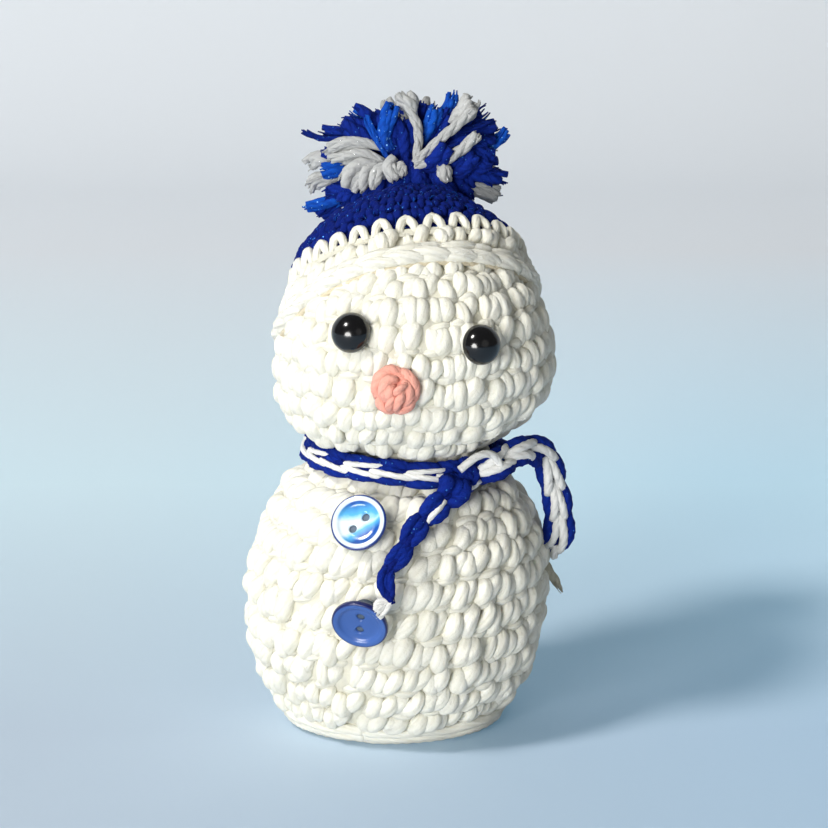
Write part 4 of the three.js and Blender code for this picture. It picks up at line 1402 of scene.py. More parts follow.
@dataclass
class Scarf:
    """The chain round the neck with its crossing and both ends."""

    ring: float = 20.2
    height: float = 57.35
    crossing: float = 50.0
    tilt: float = 2.2
    wrap_chain: Chain = Chain(6.4, 2.45, 41, 0.92, 0.56, 0.74, 1.7, 0.46)
    front_chain: Chain = Chain(
        6.2, 2.5, 31, 1.35, 0.75, 0.8, 1.15, 0.35,
        ((False, False), (True, False), (False, False), (False, False)), 1.8, 1.0, 0.55,
    )
    side_chain: Chain = Chain(
        6.9, 2.85, 37, 1.1, 0.92, 0.74, 1.35, 0.52, ((True, True), (True, True), (True, False), (True, True)), 1.5
    )
    tail_diameter: float = 4.6
    front_route: tuple[tuple[float, float, float], ...] = (
        (41.5, 0.8, 6.0), (38.9, 2.0, 5.6), (31.8, 3.8, 4.3), (24.6, 6.3, 3.1), (19.1, 9.1, 2.9), (15.9, 12.0, 2.9),
        (11.6, 14.9, 3.3), (10.3, 17.6, 3.6), (11.6, 20.2, 3.8), (12.7, 22.2, 4.0),
    )
    side_route: tuple[tuple[float, float, float], ...] = (
        (56.5, -0.9, 7.6), (62.4, -2.3, 9.2), (72.7, -3.9, 9.7), (83.4, -4.2, 10.6), (91.4, -3.2, 12.0),
        (96.9, -0.8, 13.5), (100.3, 3.1, 9.8), (102.3, 7.8, 6.0), (104.1, 12.5, 3.7), (105.6, 16.8, 2.2),
        (106.8, 19.2, 1.0),
    )

    def build(self) -> None:
        """Builds the wrap, the knot, both tails and their tufts."""
        self.blue = bpy.data.materials[BLUE_YARN.name]
        self.white = bpy.data.materials[GLITTER_WHITE_YARN.name]
        self.wrap()
        self.knot()
        self.tail("front", self.front_route, self.front_chain, (8.6, 24.6, 6.0), 0.0)
        self.tail("side", self.side_route, self.side_chain, (107.4, 20.7, 0.6), -10.0)

    def level(self, azimuth: Array, radius: Array | float, height: Array | float) -> Array:
        """Points in the neck's own tilted plane, in the part's frame."""
        spots = facing(azimuth) * np.asarray(radius)[..., None] if np.ndim(radius) else facing(azimuth) * radius
        spots[..., 2] = height
        spots = spots @ turn_about("X", -self.tilt).T
        spots[..., 2] += self.height
        return moved_by(STANDING.out, spots)

    def put(self, name: str, blue: list[Strands], white: list[Strands], *nodes: str) -> Piece:
        """Writes a piece of both yarns.

        Args:
            name: the piece's name.
            blue: its blue strands.
            white: its white strands.
            nodes: the solids it stands for.

        Returns:
            The object.
        """
        skins = [gathered(blue), gathered(white)]
        piece = add_mesh(name, Skin.merged(skins), self.blue)
        add_material(piece, skins[0], self.white)
        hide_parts(*nodes)
        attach(piece, "scarf")
        log.info("%s: %d faces", name, len(piece.data.polygons))
        return piece

    def wrap(self) -> None:
        """One turn of the chain round the neck."""
        turn = np.linspace(0, FULL_TURN, 361) + np.radians(self.crossing)
        path = self.level(turn, self.ring, np.zeros_like(turn))
        out = unit(facing(turn) @ STANDING.turn.T + np.array([0.0, 0.0, 0.28]))
        blue, white = self.wrap_chain.loops(path, out, True)
        self.put("wrap_chain", [blue, rope(path, 1.2)], [white], "scarf_wrap")

    def knot(self) -> None:
        """The crossing, where one end passes over the other."""
        rng = np.random.default_rng(43)
        azimuth = np.radians(self.crossing - 2)
        centre = self.level(np.array([azimuth]), self.ring + 2.3, 0.0)[0]
        out = facing(azimuth) @ STANDING.turn.T
        right = unit(np.cross(np.array([0, 0, 1.0]), out))
        up = np.cross(out, right)
        share = np.linspace(-1, 1, 14)
        sets: dict[bool, list[tuple[Array, Array]]] = {True: [], False: []}
        for slant, shift, white, thick in (
            (60.0, -1.5, False, 0.95), (52.0, 0.1, False, 0.95), (58.0, 1.5, False, 0.85), (-38.0, -1.4, False, 0.9),
            (-30.0, 0.2, False, 0.85), (-42.0, 1.6, False, 0.95), (20.0, -2.3, True, 0.72),
        ):
            lean = np.radians(slant)
            run = right * np.cos(lean) + up * np.sin(lean)
            across = -right * np.sin(lean) + up * np.cos(lean)
            bulge = 1.0 + rng.uniform(0, 0.5)
            line = (
                centre
                + run * (3.3 * share)[:, None]
                + across * (shift + 0.3 * share**2 * np.sign(shift))[:, None]
                + out * (bulge * np.cos(share * np.pi / 2) - 1.1)[:, None]
            )
            sets[white].append((line, thick * (0.65 + 0.35 * np.cos(share * np.pi / 2) ** 0.7)))
        made = {}
        for white, lines in sets.items():
            centres, radii = (np.array(each) for each in zip(*lines))
            normals = np.broadcast_to(out, centres.shape)
            shade = np.full(radii.shape, 0.9)
            made[white] = Strands(centres, radii, normals, rng.random(len(lines)), shade, 10, 1.0, 2, 0.1, 1.5)
        bight = smooth_path(
            off_body([(40, -2.6, 9.8), (48.6, -5.2, 10.2), (56, -5.2, 10.4), (60.6, -3.2, 10.7), (63, -0.6, 10.5)])
        )
        made_bight = rope(bight, 0.8, 1.0, np.broadcast_to(out, bight.shape))
        self.put("knot_loops", [made[False]], [made[True], made_bight], "scarf_knot")

    def tail(
        self,
        side: str,
        route: Sequence[tuple[float, float, float]],
        chain: Chain,
        tuft_end: tuple[float, float, float],
        faced: float,
    ) -> None:
        """One hanging end of the chain with its tuft.

        Args:
            side: "front" or "side".
            route: points off the body, from the knot outward.
            chain: how the chain is worked.
            tuft_end: where the tuft's tips reach.
            faced: how far the chain's face is turned about it from the viewer, in degrees.
        """
        rng = np.random.default_rng(chain.seed)
        path = smooth_path(off_body(route))
        run = unit(np.gradient(path, axis=0))
        normals = np.broadcast_to(facing(VIEWED), path.shape)
        normals = unit(normals - run * np.sum(normals * run, axis=1, keepdims=True))
        turned = np.radians(faced)
        normals = normals * np.cos(turned) + np.cross(run, normals) * np.sin(turned)
        blue, white = chain.loops(path, normals)
        end = off_body([tuft_end])[0]
        blues = [blue, rope(path, 0.9)]
        whites = [white]
        for number in range(3):
            stray = rng.normal(0, 0.6, 3)
            line = smooth_path(np.array([path[-5], path[-1] + 0.6 * stray, end + stray]), 0.5)
            (blues if side == "side" and number % 2 else whites).extend(opened(rng, line, 1.25, normals[-1]))
        joined = self.put(f"{side}_tail_chain", blues, whites, f"scarf_{side}_tail", f"scarf_{side}_tuft")
        line = np.concatenate([path, np.linspace(path[-1], end, 12)[1:]])


class Hue(Enum):
    """Which yarn a lock of the pompom is cut from."""

    BLUE = "blue"
    BRIGHT = "bright"
    WHITE = "white"


BLUE, BRIGHT, WHITE = Hue


@dataclass(frozen=True)
class Lock:
    """One cut strand of the pompom.

    Its route is given from the pompom's middle, to the right and up as the viewer sees it; toward is how far it lies
    in front of the middle, at its root and at its tip.
    """

    hue: Hue
    width: float
    toward: tuple[float, float]
    route: tuple[tuple[float, float], ...]
    tight: bool = False


# The strands that make the pompom's face, as they lie in front
FRONT_LOCKS = (
    # dark clump at the upper left, with its ragged tips
    Lock(BLUE, 2.6, (4.0, 3.5), ((-1.5, 1.0), (-5.5, 4.6), (-8.6, 8.4), (-12.0, 10.6))),
    Lock(BLUE, 2.5, (5.0, 5.0), ((-2.0, 1.5), (-6.0, 4.2), (-10.5, 6.2), (-14.4, 8.2))),
    Lock(BLUE, 1.7, (3.0, 1.0), ((-3.0, 1.0), (-10.0, 4.6), (-15.0, 5.4), (-18.6, 5.9))),
    Lock(BLUE, 0.55, (5.0, 5.0), ((-9.0, 3.4), (-14.0, 5.2), (-18.2, 5.0), (-22.0, 7.2))),
    # upright clumps in the middle
    Lock(BLUE, 2.6, (5.5, 5.0), ((-0.5, -0.5), (-2.6, 3.4), (-4.2, 7.4), (-4.4, 11.4))),
    Lock(BLUE, 2.4, (6.4, 5.5), ((0.5, -1.0), (-0.8, 3.0), (-1.0, 6.6), (-1.4, 10.4))),
    Lock(BRIGHT, 1.8, (7.8, 7.4), ((-3.6, 3.0), (-4.8, 6.0), (-4.2, 9.4), (-3.0, 12.8))),
    Lock(BRIGHT, 0.8, (7.6, 7.6), ((-3.6, 0.6), (-6.0, 4.2), (-8.0, 8.2), (-8.6, 10.4))),
    Lock(BRIGHT, 1.6, (5.4, 5.0), ((2.2, 3.0), (3.6, 6.5), (5.0, 9.5), (5.8, 12.0))),
    Lock(BLUE, 2.3, (3.0, 2.0), ((0.5, 1.0), (1.6, 5.6), (2.6, 9.4), (3.0, 12.4))),
    Lock(BLUE, 2.2, (4.0, 3.0), ((1.0, 1.0), (3.6, 5.0), (5.4, 8.6), (6.2, 11.6))),
    Lock(BRIGHT, 1.7, (3.0, 2.0), ((3.6, 4.0), (6.2, 8.0), (8.4, 11.4), (8.9, 14.8))),
    Lock(BLUE, 1.8, (4.4, 4.0), ((2.0, 2.0), (5.0, 5.4), (7.6, 9.0), (9.0, 11.4))),
    # right mass
    Lock(BLUE, 2.6, (1.0, 0.0), ((3.0, 2.0), (8.0, 6.4), (13.0, 9.0), (16.0, 11.4))),
    Lock(BLUE, 2.7, (3.0, 2.0), ((3.0, 1.0), (9.0, 3.8), (14.6, 6.0), (18.6, 7.2))),
    Lock(BLUE, 2.8, (4.5, 3.5), ((3.0, 0.0), (9.0, 1.6), (14.0, 3.0), (18.4, 3.4))),
    Lock(BLUE, 2.8, (6.5, 5.0), ((3.0, -1.0), (8.6, -0.4), (13.6, 0.6), (18.0, 0.2))),
    Lock(BLUE, 2.5, (6.0, 4.0), ((4.0, -2.0), (9.4, -2.4), (15.0, -2.4), (20.2, -3.8))),
    Lock(BLUE, 2.2, (4.0, 2.0), ((4.0, -3.0), (10.0, -3.6), (15.4, -4.8), (19.6, -6.0))),
    # lower left
    Lock(BLUE, 2.2, (2.0, 1.0), ((-4.0, -3.0), (-10.0, -5.6), (-15.0, -8.0), (-19.0, -11.2))),
    Lock(BRIGHT, 1.5, (3.0, 2.0), ((-8.0, -5.0), (-13.0, -7.6), (-18.0, -9.2), (-22.0, -9.8))),
    Lock(BLUE, 2.4, (4.0, 3.0), ((-4.0, -2.0), (-9.6, -4.2), (-14.0, -6.0), (-17.6, -6.8))),
    Lock(BRIGHT, 1.7, (4.0, 4.0), ((-9.0, -1.0), (-13.0, -1.4), (-16.0, -1.6), (-18.6, -1.8))),
    Lock(BLUE, 2.0, (3.0, 2.0), ((-4.0, 1.0), (-10.0, 1.4), (-15.0, 1.6), (-18.4, 2.4))),
    # the dark locks below the middle, down to the crown
    Lock(BLUE, 2.6, (7.0, 8.4), ((-5.0, 0.0), (-6.0, -3.0), (-7.0, -5.6), (-8.0, -7.6))),
    Lock(BLUE, 2.6, (7.8, 9.6), ((-1.5, 0.5), (-2.0, -2.6), (-2.6, -5.4), (-3.0, -8.0))),
    Lock(BLUE, 2.7, (8.0, 9.8), ((1.5, 0.5), (2.2, -2.6), (2.6, -5.4), (3.0, -8.0))),
    Lock(BLUE, 2.4, (7.4, 9.4), ((0.0, 1.0), (0.0, -2.0), (0.1, -4.8), (0.2, -7.6))),
    Lock(BRIGHT, 1.3, (3.0, 2.0), ((14.0, 1.0), (17.0, 3.0), (19.2, 5.0), (20.6, 6.6))),
    Lock(BLUE, 2.6, (7.4, 9.0), ((5.0, 0.0), (6.4, -2.6), (7.4, -5.4), (8.4, -7.4))),
    Lock(BLUE, 2.4, (6.0, 6.6), ((8.0, -1.0), (10.4, -3.4), (12.2, -5.4), (13.4, -7.6))),
    Lock(BLUE, 2.3, (6.0, 7.0), ((-9.0, -3.0), (-10.6, -5.0), (-12.0, -7.0), (-13.0, -9.0))),
    Lock(BLUE, 2.4, (8.2, 8.6), ((3.0, -1.0), (4.6, 0.4), (6.4, 2.2), (8.6, 4.2))),
    Lock(BLUE, 2.2, (8.0, 7.0), ((9.0, -2.0), (11.0, -1.0), (12.6, 0.4), (14.0, 2.0))),
    # white: the three long strands
    Lock(WHITE, 1.1, (8.2, 6.0), ((1.6, 1.2), (2.0, 6.6), (0.6, 10.8), (-2.0, 14.2)), True),
    Lock(WHITE, 1.15, (8.8, 7.4), ((1.2, 0.6), (6.0, 5.0), (10.4, 8.8), (13.4, 11.6)), True),
    Lock(WHITE, 1.2, (9.0, 8.6), ((1.2, 0.2), (6.8, 1.0), (10.9, 3.4), (14.0, 6.4)), True),
    Lock(WHITE, 2.5, (5.0, 4.0), ((8.8, 8.0), (11.0, 10.4), (12.8, 12.2), (13.6, 13.6))),
    Lock(WHITE, 2.2, (5.8, 5.2), ((1.0, 9.6), (0.4, 11.4), (-0.6, 13.0), (-1.2, 14.2))),
    # white: the puffs
    Lock(WHITE, 1.5, (7.4, 6.0), ((-5.6, 3.4), (-9.0, 4.6), (-13.0, 4.4), (-17.6, 2.6))),
    Lock(WHITE, 1.4, (8.2, 6.6), ((-5.0, 1.0), (-9.4, 2.0), (-13.4, 1.6), (-16.8, 0.8))),
    Lock(WHITE, 2.5, (8.4, 8.0), ((-5.6, -0.4), (-8.4, -0.4), (-11.4, -1.6), (-13.2, -4.2))),
    Lock(WHITE, 2.3, (8.6, 8.4), ((-6.4, 0.6), (-8.6, -1.0), (-9.8, -3.0), (-10.4, -5.8))),
    Lock(WHITE, 1.9, (8.8, 8.8), ((-4.0, 0.4), (-6.4, -1.2), (-7.6, -3.0), (-8.0, -4.6))),
    Lock(WHITE, 1.9, (9.6, 10.4), ((-2.8, 2.0), (-3.6, 0.6), (-3.4, -1.2), (-2.4, -3.2))),
    Lock(WHITE, 1.4, (9.8, 10.2), ((-1.0, 0.8), (-1.6, 0.4), (-1.6, -0.8), (-1.2, -2.0))),
    Lock(WHITE, 1.6, (9.4, 9.8), ((6.4, 0.6), (7.0, -0.4), (7.4, -1.6), (7.6, -3.2))),
    Lock(WHITE, 0.5, (9.6, 9.2), ((7.4, -2.0), (8.2, -3.6), (9.0, -5.0), (9.6, -6.6)), True),
    Lock(WHITE, 1.6, (7.0, 4.4), ((10.4, -4.2), (13.0, -5.4), (15.6, -6.2), (18.6, -7.8))),
    Lock(WHITE, 1.1, (6.6, 3.6), ((12.4, -4.0), (14.6, -4.8), (16.6, -5.4), (18.8, -6.0))),
    Lock(WHITE, 2.0, (0.0, -1.0), ((-12.0, 0.0), (-16.0, 0.4), (-19.4, 0.0), (-21.2, -1.6))),
    Lock(WHITE, 1.8, (1.0, 0.0), ((-12.0, -3.0), (-16.0, -3.6), (-19.6, -4.6), (-20.6, -7.0))),
)


@dataclass
class Hat:
    """The hat: white brim, row of loops, blue crown and pompom."""

    brim_size: StitchSize = field(
        default_factory=lambda: StitchSize(width=5.2, height=4.6, yarn=1.5, bulge=0.9, slant=0.1, drift=0.2)
    )
    edge: Chain = Chain(5.6, 2.1, 53, 1.3, 1.2, 0.55)
    crown_size: StitchSize = field(
        default_factory=lambda: StitchSize(
            width=3.0, height=3.1, yarn=0.95, bulge=0.42, sink=0.25, drift=0.5, slant=0.1, uneven=0.5,
            rings=8, sides=8,
        )
    )
    loops: int = 30
    loop_height: float = 3.2
    loop_yarn: float = 0.92
    pompom_middle: float = 43.0

    def build(self) -> None:
        """Builds the brim, the crown and the pompom."""
        self.outline = Outline.of(hat_radius, BRIM_LOW, CROWN_HIGH)
        self.change = float(np.interp(BRIM_HIGH, self.outline.height, self.outline.length))
        self.white = bpy.data.materials[WHITE_YARN.name]
        self.blue = bpy.data.materials[BLUE_YARN.name]
        self.bright = bpy.data.materials[BRIGHT_YARN.name]
        self.brim()
        self.crown()
        self.pompom()

    def brim(self) -> None:
        """Two rounds of stitches, an edge and the row of loops at the colour change."""
        fabric = Fabric(self.outline, slumped, HAT.turn, self.brim_size, 51)
        parts = [fabric.legs(3.4, self.change - 3.9).skin(), fabric.backing(1.9, 0.2, self.change - 2.3, 24)]
        parts.append(fabric.backing(1.2, self.change - 4.5, self.change - 2.3, 8))
        parts.append(self.loop_row(fabric).skin())
        turn = np.linspace(0, FULL_TURN, 361)
        line, normals = self.outline.point(np.full_like(turn, 1.7), turn, np.full_like(turn, -1.5))
        parts += [each.skin() for each in self.edge.loops(slumped(line), normals @ HAT.turn.T, True)]
        # Painted shadow: a thin dark rope under the brim's edge draws the crease's shade
        line, normals = self.outline.point(np.zeros_like(turn), turn, np.full_like(turn, -1.15))
        inside = rope(slumped(line - np.array([0.0, 0.0, 0.75])), 0.5, 0.6, normals @ HAT.turn.T)
        for name, skin, yarn in (
            ("brim_rounds", Skin.merged(parts), self.white),
            ("brim_edge_yarn", inside.skin(), BRIM_SHADOW_LINE_YARN.material()),
        ):
            piece = add_mesh(name, skin, yarn)
            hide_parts("hat_brim")
            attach(piece, "hat")

    def loop_row(self, fabric: Fabric) -> Strands:
        """Upside-down V loops on the brim's fabric, with a small hole in each."""
        rng = np.random.default_rng(57)
        rings = 15
        share = np.linspace(-1, 1, rings)[None, :]
        start = (np.arange(self.loops) * FULL_TURN / self.loops)[:, None]
        across = 1.62 * np.sign(share) * np.abs(share) ** 0.62 + rng.normal(0, 0.08, (self.loops, 1))
        rise = self.loop_height * (1 - np.abs(share) ** 1.7) + rng.normal(0, 0.12, (self.loops, 1))
        along = self.change - self.loop_height + rise
        off = -self.loop_yarn + 0.25 - 0.9 * np.abs(share) ** 3
        centres, normals = fabric.placed(along, start, across, np.broadcast_to(off, along.shape))
        radii = np.broadcast_to(self.loop_yarn * (1 - 0.18 * np.abs(share) ** 4), along.shape)
        shade = np.broadcast_to(1 - 0.5 * np.abs(share) ** 3, along.shape)
        return Strands(centres, radii, normals, rng.random(self.loops), shade, 12)

    def crown(self) -> None:
        """Fine blue stitches with short glitter threads over them."""
        fabric = Fabric(self.outline, slumped, HAT.turn, self.crown_size, 61)
        legs = fabric.legs(self.change + 0.2, self.outline.total)
        backing = fabric.backing(1.5, self.change - 3.2, self.outline.total, 40)
        rng = np.random.default_rng(63)
        count, rings = 700, 4
        along = rng.uniform(self.change - 1.0, self.outline.total - 4, (count, 1))
        azimuth = rng.uniform(0, FULL_TURN, (count, 1))
        share = np.linspace(-0.5, 0.5, rings)[None, :]
        run = rng.uniform(0.7, 1.9, (count, 1)) * share
        lean = rng.normal(0.15, 0.5, (count, 1))
        off = -0.75 + 0.35 * rng.random((count, 1)) - 2.4 * share**2
        centres, normals = fabric.placed(along + run * np.cos(lean), azimuth, run * np.sin(lean), off, 2.0)
        radii = np.full((count, rings), 0.11) * rng.uniform(0.7, 1.3, (count, 1))
        shade = np.full((count, rings), 0.8)
        threads = Strands(centres, radii, normals, rng.random(count), shade, 5, 1.0, 1, 0.0)
        base = Skin.merged([legs.skin(), backing])
        skin = Skin.merged([base, threads.skin()])
        piece = add_mesh("crown_rounds", skin, CROWN_YARN.material())
        add_material(piece, base, self.bright)
        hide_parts("hat_crown")
        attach(piece, "hat")

    def locks(self) -> list[Lock]:
        """The strands in front and those that fill the pompom behind and below them."""
        rng = np.random.default_rng(71)
        made = list(FRONT_LOCKS)
        golden = np.pi * (3 - np.sqrt(5))
        count = 100
        for number in range(count):
            up = 1 - 1.5 * (number + 0.5) / count
            level = np.sqrt(1 - up * up)
            right, toward = level * np.cos(golden * number), level * np.sin(golden * number)
            front = toward > 0.3 and abs(right) < 0.9
            reach = rng.uniform(0.7, 1.02) * np.array([19.0 + 1.2 * right, 13.2, 18.0])
            if front:
                reach = reach * np.array([0.6, 0.55, 0.36])
            tip = np.array([right, up, toward]) * reach
            bow = rng.normal(0, 0.9, 2)
            route = tuple(
                tuple(float(share * tip[axis] + bow[axis] * np.sin(3 * share)) for axis in range(2))
                for share in (0.12, 0.4, 0.7, 1.0)
            )
            hue = BLUE
            if not front and number % 3 == 1:
                hue = WHITE
            elif not front and number % 7 == 3:
                hue = BRIGHT
            made.append(Lock(hue, float(rng.uniform(2.0, 2.9)), (0.12 * float(tip[2]), float(tip[2])), route))
        return made

    def pompom(self) -> None:
        """The pompom's locks, a piece per colour, and the yarn that ties it."""
        middle = HAT.out(np.array([CROWN_SLUMP, 0.0, self.pompom_middle]))
        right = np.array([np.cos(VIEWED), np.sin(VIEWED), 0.0])
        toward = facing(VIEWED)
        up = np.array([0.0, 0.0, 1.0])
        rng = np.random.default_rng(73)
        sets: dict[Hue, list[Strands]] = {hue: [] for hue in Hue}
        for lock in self.locks():
            depth = np.linspace(*lock.toward, len(lock.route))
            spots = [middle + right * x + up * y + toward * z for (x, y), z in zip(lock.route, depth)]
            path = smooth_path(np.array(spots), 0.5)
            if lock.tight:
                sets[lock.hue] += self.twisted(rng, path, lock.width)
            else:
                sets[lock.hue] += opened(rng, path, lock.width, toward, 5, 5)
        core = lathe([(0.01, -4.2), (3.0, -3.4), (4.2, 0.0), (3.0, 3.0), (0.01, 4.0)], 24, Place(middle, HAT.turn))
        # Painted shade: a dark core fills the pompom's middle behind the locks
        core.shade[:] = 0.1
        blue = Skin.merged([gathered(sets[BLUE]), core])
        skin = Skin.merged([blue, gathered(sets[BRIGHT])])
        piece = add_mesh("blue_locks", skin, self.blue)
        add_material(piece, blue, self.bright)
        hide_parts("pompom_blue")
        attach(piece, "hat")
        log.info("pompom_blue: %d faces", len(piece.data.polygons))
        # Painted shade: the white locks use the white glitter yarn painted darker
        piece = add_mesh("white_locks", gathered(sets[WHITE]), POMPOM_WHITE_PAINTED_SHADE.material())
        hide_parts("pompom_white")
        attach(piece, "hat")
        log.info("pompom_white: %d faces", len(piece.data.polygons))
        dress("pompom_tie", TIE_YARN)

    @staticmethod
    def twisted(rng: Random, path: Array, width: float) -> list[Strands]:
        """A strand that kept its twist, blunt at its cut end.

        Args:
            rng: the pompom's random numbers.
            path: points along it.
            width: its radius.

        Returns:
            Its twisted plies and the fibres of its cut end.
        """
        plies = 3
        line = path[np.linspace(0, len(path) - 1, 26).round().astype(int)]
        share = np.linspace(0, 1, len(line))
        run = unit(np.gradient(line, axis=0))
        across = unit(np.cross(run, facing(VIEWED)))
        third = np.cross(across, run)
        length = float(steps_of(line).sum())
        grown = 0.8 + 0.25 * share
        lines = []
        for ply in range(plies):
            turn = FULL_TURN * ply / plies + 0.6 * share * length
            reach = width * 0.46 * grown
            lines.append(line + (reach * np.cos(turn))[:, None] * across + (reach * np.sin(turn))[:, None] * third)
        radii = np.broadcast_to(width * 0.62 * grown, (plies, len(line)))
        normals = np.broadcast_to(third, (plies, len(line), 3))
        shade = np.broadcast_to(0.6 + 0.4 * share, radii.shape)
        body = Strands(np.array(lines), radii, normals, rng.random(plies), shade, 9, 1.0, 3, 0.04, 1.2)
        end = frayed(rng, line[-3], line[-1] + run[-1] * 0.5, width, 12, 0.26, None, 0.95, 0.08)
        return [body, end]


@dataclass
class Button:
    """A two-hole button with a raised rim, glued on."""

    name: str
    azimuth: float
    below: float
    tilt: float
    lift: float
    holes_turn: float
    finish: PlainFinish | PearlyButtonPaintedReflection
    radius: float = 5.7
    thickness: float = 2.3
    rim: float = 1.5
    dish: float = 0.75
    hole: float = 0.83
    pitch: float = 1.7

    def build(self) -> None:
        """Turns the button, drills its holes and dresses the glue."""
        height = NECK_HEIGHT - self.below
        pitch = pitch_of(body_radius, height) + self.tilt
        lift = GAP + self.lift + 4.2 * abs(np.sin(np.radians(self.tilt)))
        rise = np.radians(pitch)
        place = STANDING.seat(
            self.azimuth, height + lift * np.sin(rise), float(body_radius(height)) + lift * np.cos(rise), pitch
        )
        top, floor = self.thickness, self.thickness - self.dish
        rim = self.radius - self.rim
        profile = [(0.001, 0.0), (self.radius - 1.6, 0.0), (self.radius - 0.9, 0.25), (self.radius - 0.12, 1.1)]
        profile += [(self.radius, 1.35), (self.radius, top - 0.45)]
        profile += [
            (self.radius - 0.4 + 0.4 * float(np.cos(turn)), top - 0.4 + 0.4 * float(np.sin(turn)))
            for turn in np.linspace(0.2, np.pi / 2, 6)
        ]
        profile += [(rim + 0.45, top - 0.02), (rim + 0.22, top - 0.1), (rim, top - 0.32), (rim - 0.22, floor + 0.2)]
        profile += [(rim - 0.6, floor + 0.05), (rim - 1.4, floor), (0.001, floor - 0.08)]
        skin = lathe(profile, 96, ROOM)
        piece = add_mesh(f"two_hole_{self.name}", skin, self.finish.material())
        turn = np.radians(self.holes_turn)
        spots = [side * self.pitch * np.array([np.cos(turn), np.sin(turn), 0.0]) for side in (-1, 1)]
        for spot in spots:
            drill(piece, spot[:2], self.hole, top + 1)
        matrix = np.eye(4)
        matrix[:3, :3] = place.turn
        matrix[:3, 3] = place.origin * MM
        piece.matrix_world = Matrix(matrix.tolist())
        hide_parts(self.name)
        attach(piece, "figure")
        node = self.name.replace("button", "button_glue")
        bead = [(0.001, -3.2), (2.3, -3.2), (2.1, -1.6), (2.1, -0.6), (2.6, -0.15), (3.0, 0.02), (0.001, 0.02)]
        # Glue plugs in the holes, painted dark: they stand for the shade down the holes
        pressed_in = [(0.001, -0.1), (self.hole - 0.03, -0.1), (self.hole - 0.03, 1.12), (0.4, 1.02), (0.001, 1.0)]
        beads = [lathe(bead, 48, place)] + [lathe(pressed_in, 24, place.child(spot, np.eye(3))) for spot in spots]
        glue = add_mesh(f"{node}_bead", Skin.merged(beads), HOLE_SHADE_GLUE.material())
        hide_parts(node)
        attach(glue, "figure")
        log.info("%s: %d faces", self.name, len(piece.data.polygons))


def drill(piece: Piece, spot: Array, radius: float, reach: float) -> None:
    """Cuts a round hole through a piece along its Z.

    Args:
        piece: the piece, still at the origin.
        spot: where, across the piece.
        radius: the hole's radius.
        reach: how far the bit goes either way.
    """
    place = Place(np.array([spot[0], spot[1], 0.0]), np.eye(3))
    profile = [(0.0005, -reach), (radius, -reach), (radius, reach), (0.0005, reach)]
    bit = add_mesh("bit", lathe(profile, 32, place), piece.data.materials[0])
    cutter = piece.modifiers.new("hole", "BOOLEAN")
    cutter.operation = "DIFFERENCE"
    cutter.solver = "EXACT"
    cutter.object = bit
    bpy.context.view_layer.update()
    cut = bpy.data.meshes.new_from_object(piece.evaluated_get(bpy.context.evaluated_depsgraph_get()))
    piece.modifiers.remove(cutter)
    piece.data = cut
    bpy.data.objects.remove(bit)


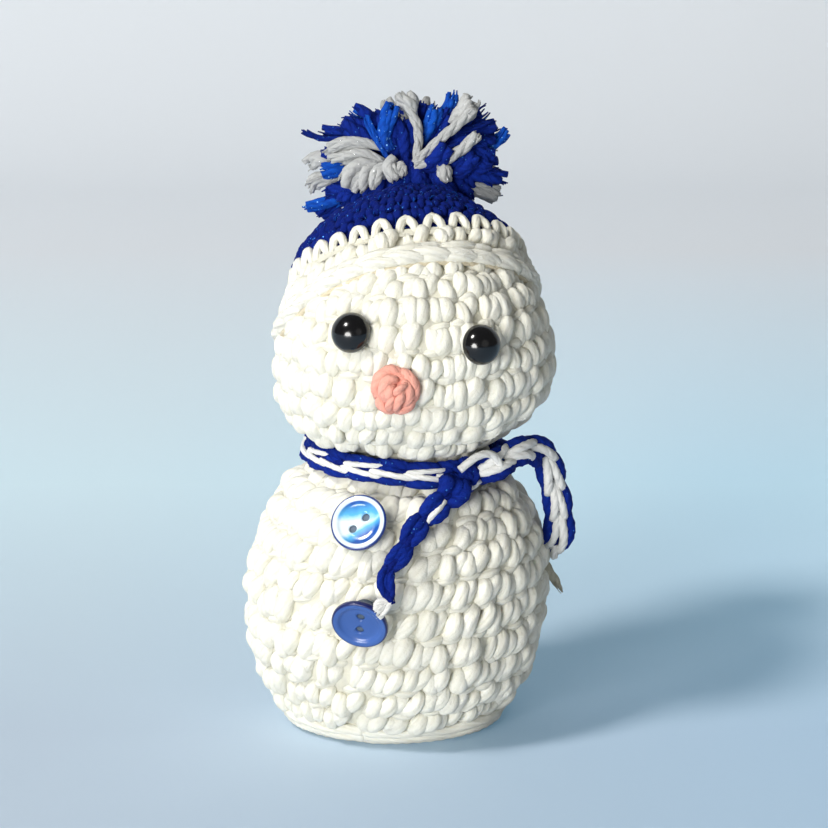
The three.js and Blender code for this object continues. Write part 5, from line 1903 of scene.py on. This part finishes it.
@dataclass
class Studio:
    """The camera, the lights, the floor and the backdrop."""

    azimuth: float = 16.0
    elevation: float = 13.4
    distance: float = 0.6
    target: tuple[float, float, float] = (0.00423, 0.00121, 0.0649)
    scale: float = 0.205
    image: int = 828
    near: Colour = (0.51, 0.6, 0.715)
    between: Colour = (0.73, 0.91, 1.0)
    far: Colour = (0.69, 0.73, 0.775)
    glow: Colour = (0.15, 0.16, 0.17)
    pale_glow: Colour = (0.045, 0.072, 0.09)
    blue_glow: Colour = (0.0, 0.085, 0.155)
    sky: Colour = (0.95, 0.94, 0.9)
    sky_strength: float = 0.145
    aim_height: float = 0.07
    floor_reach: float = 2600.0
    bend_start: float = 700.0
    bend_radius: float = 300.0
    wall_top: float = 1400.0

    def build(self) -> None:
        """Builds the whole studio."""
        scene = bpy.context.scene
        scene.view_settings.view_transform = "Standard"
        self.camera()
        self.floor()
        self.lights()

    def camera(self) -> None:
        """The camera, at the photograph's viewing angle."""
        data = bpy.data.cameras.new("camera")
        camera = bpy.data.objects.new("camera", data)
        bpy.context.scene.collection.objects.link(camera)
        bpy.context.scene.camera = camera
        turn, rise = np.radians(self.azimuth), np.radians(self.elevation)
        back = Vector((np.sin(turn) * np.cos(rise), -np.cos(turn) * np.cos(rise), np.sin(rise)))
        camera.location = Vector(self.target) + back * self.distance
        camera.rotation_euler = back.to_track_quat("Z", "Y").to_euler()
        data.sensor_width = 36.0
        data.lens = data.sensor_width * self.distance / (self.image * self.scale * MM)
        data.clip_start = 0.01

    def floor(self) -> None:
        """A pale floor that sweeps up into the backdrop."""
        turn = np.radians(self.azimuth)
        away = np.array([-np.sin(turn), np.cos(turn), 0.0])
        right = np.array([np.cos(turn), np.sin(turn), 0.0])
        start, radius = self.bend_start, self.bend_radius
        line = [(-self.floor_reach, 0.0), (0.0, 0.0), (start, 0.0)]
        for part in np.linspace(0.1, np.pi / 2, 14):
            line.append((start + radius * float(np.sin(part)), radius * (1 - float(np.cos(part)))))
        line.append((start + radius, self.wall_top))
        across = np.linspace(-self.floor_reach, self.floor_reach, 3)
        points = np.array(
            [[away * far + right * wide + np.array([0, 0, rise]) for wide in across] for far, rise in line]
        )
        sweep = add_mesh("floor", Skin.grid(points, False, 1.0), self.sweep_material())

    def sweep_material(self) -> Material:
        """Matt pale blue-grey, paler and greyer up the backdrop.

        Its glow shows to the camera, in metal and through glass, and lights nothing.

        Returns:
            The floor's material.
        """
        material, wiring, shader = blank_material("pale floor")
        place = wiring.add("ShaderNodeTexCoord").outputs["Object"]
        turn = np.radians(self.azimuth)
        x, y, _ = wiring.add("ShaderNodeSeparateXYZ", {0: place}).outputs
        away = wiring.scaled(x, float(-np.sin(turn)), wiring.math("MULTIPLY", y, float(np.cos(turn))))
        middle = wiring.scaled(away, 5.0, 0.05, clamp=True)
        far = wiring.scaled(away, 2.86, -0.57, clamp=True)
        colour = wiring.mix(middle, opaque(self.near), opaque(self.between))
        colour = wiring.mix(far, colour, opaque(self.far))
        aside = wiring.scaled(x, float(np.cos(turn)), wiring.math("MULTIPLY", y, float(np.sin(turn))))
        # Painted light: the near glow turns blue toward the right, where the figure's shadow falls
        right = wiring.scaled(aside, 6.0, 0.45, clamp=True)
        near_glow = wiring.mix(right, opaque(self.pale_glow), opaque(self.blue_glow))
        glow = wiring.mix(far, near_glow, opaque(self.glow))
        rays = wiring.add("ShaderNodeLightPath").outputs
        seen = wiring.math("ADD", rays["Is Camera Ray"], rays["Is Glossy Ray"])
        seen = wiring.math("ADD", seen, rays["Is Transmission Ray"], clamp=True)
        finish = {"Base Color": colour, "Emission Color": glow, "Emission Strength": seen, "Roughness": 0.75}
        wiring.feed(shader, finish)
        return material

    def lights(self) -> None:
        """A soft key from the upper left, a weak fill and an even sky."""
        world = bpy.data.worlds.new("studio")
        bpy.context.scene.world = world
        world.use_nodes = True
        sky = world.node_tree.nodes["Background"]
        sky.inputs["Color"].default_value = opaque(self.sky)
        sky.inputs["Strength"].default_value = self.sky_strength
        for name, spot, size, power, tint in (
            ("key", (-1.02, -1.18, 1.88), 0.5, 34.0, (1.0, 0.985, 0.955)),
            ("key_low", (-0.27, -1.477, 0.1), 0.8, 29.5, (1.0, 0.985, 0.955)),
            ("fill", (0.6, -0.5, 0.3), 0.5, 0.2, (1.0, 0.98, 0.94)),
        ):
            data = bpy.data.lights.new(name, "AREA")
            data.shape = "DISK"
            data.size = size
            data.energy = power
            data.color = tint
            lamp = bpy.data.objects.new(name, data)
            bpy.context.scene.collection.objects.link(lamp)
            lamp.location = spot
            aim = Vector(spot) - Vector((0.0, 0.0, self.aim_height))
            lamp.rotation_euler = aim.to_track_quat("Z", "Y").to_euler()


def main() -> None:
    """Builds everything in order."""
    logging.basicConfig(level=logging.INFO, format="%(message)s")
    Studio().build()
    for finish in (BLUE_YARN, BRIGHT_YARN, GLITTER_WHITE_YARN):
        finish.material()
    Body().build()
    Scarf().build()
    Head().build()
    Hat().build()
    Button("button_upper", -3.0, 9.4, -5.1, 0.0, 52.0, PearlyButtonPaintedReflection()).build()
    Button("button_lower", 2.6, 25.3, -25.3, 0.4, 84.0, PLAIN_BUTTON).build()


if __name__ == "__main__":
    main()
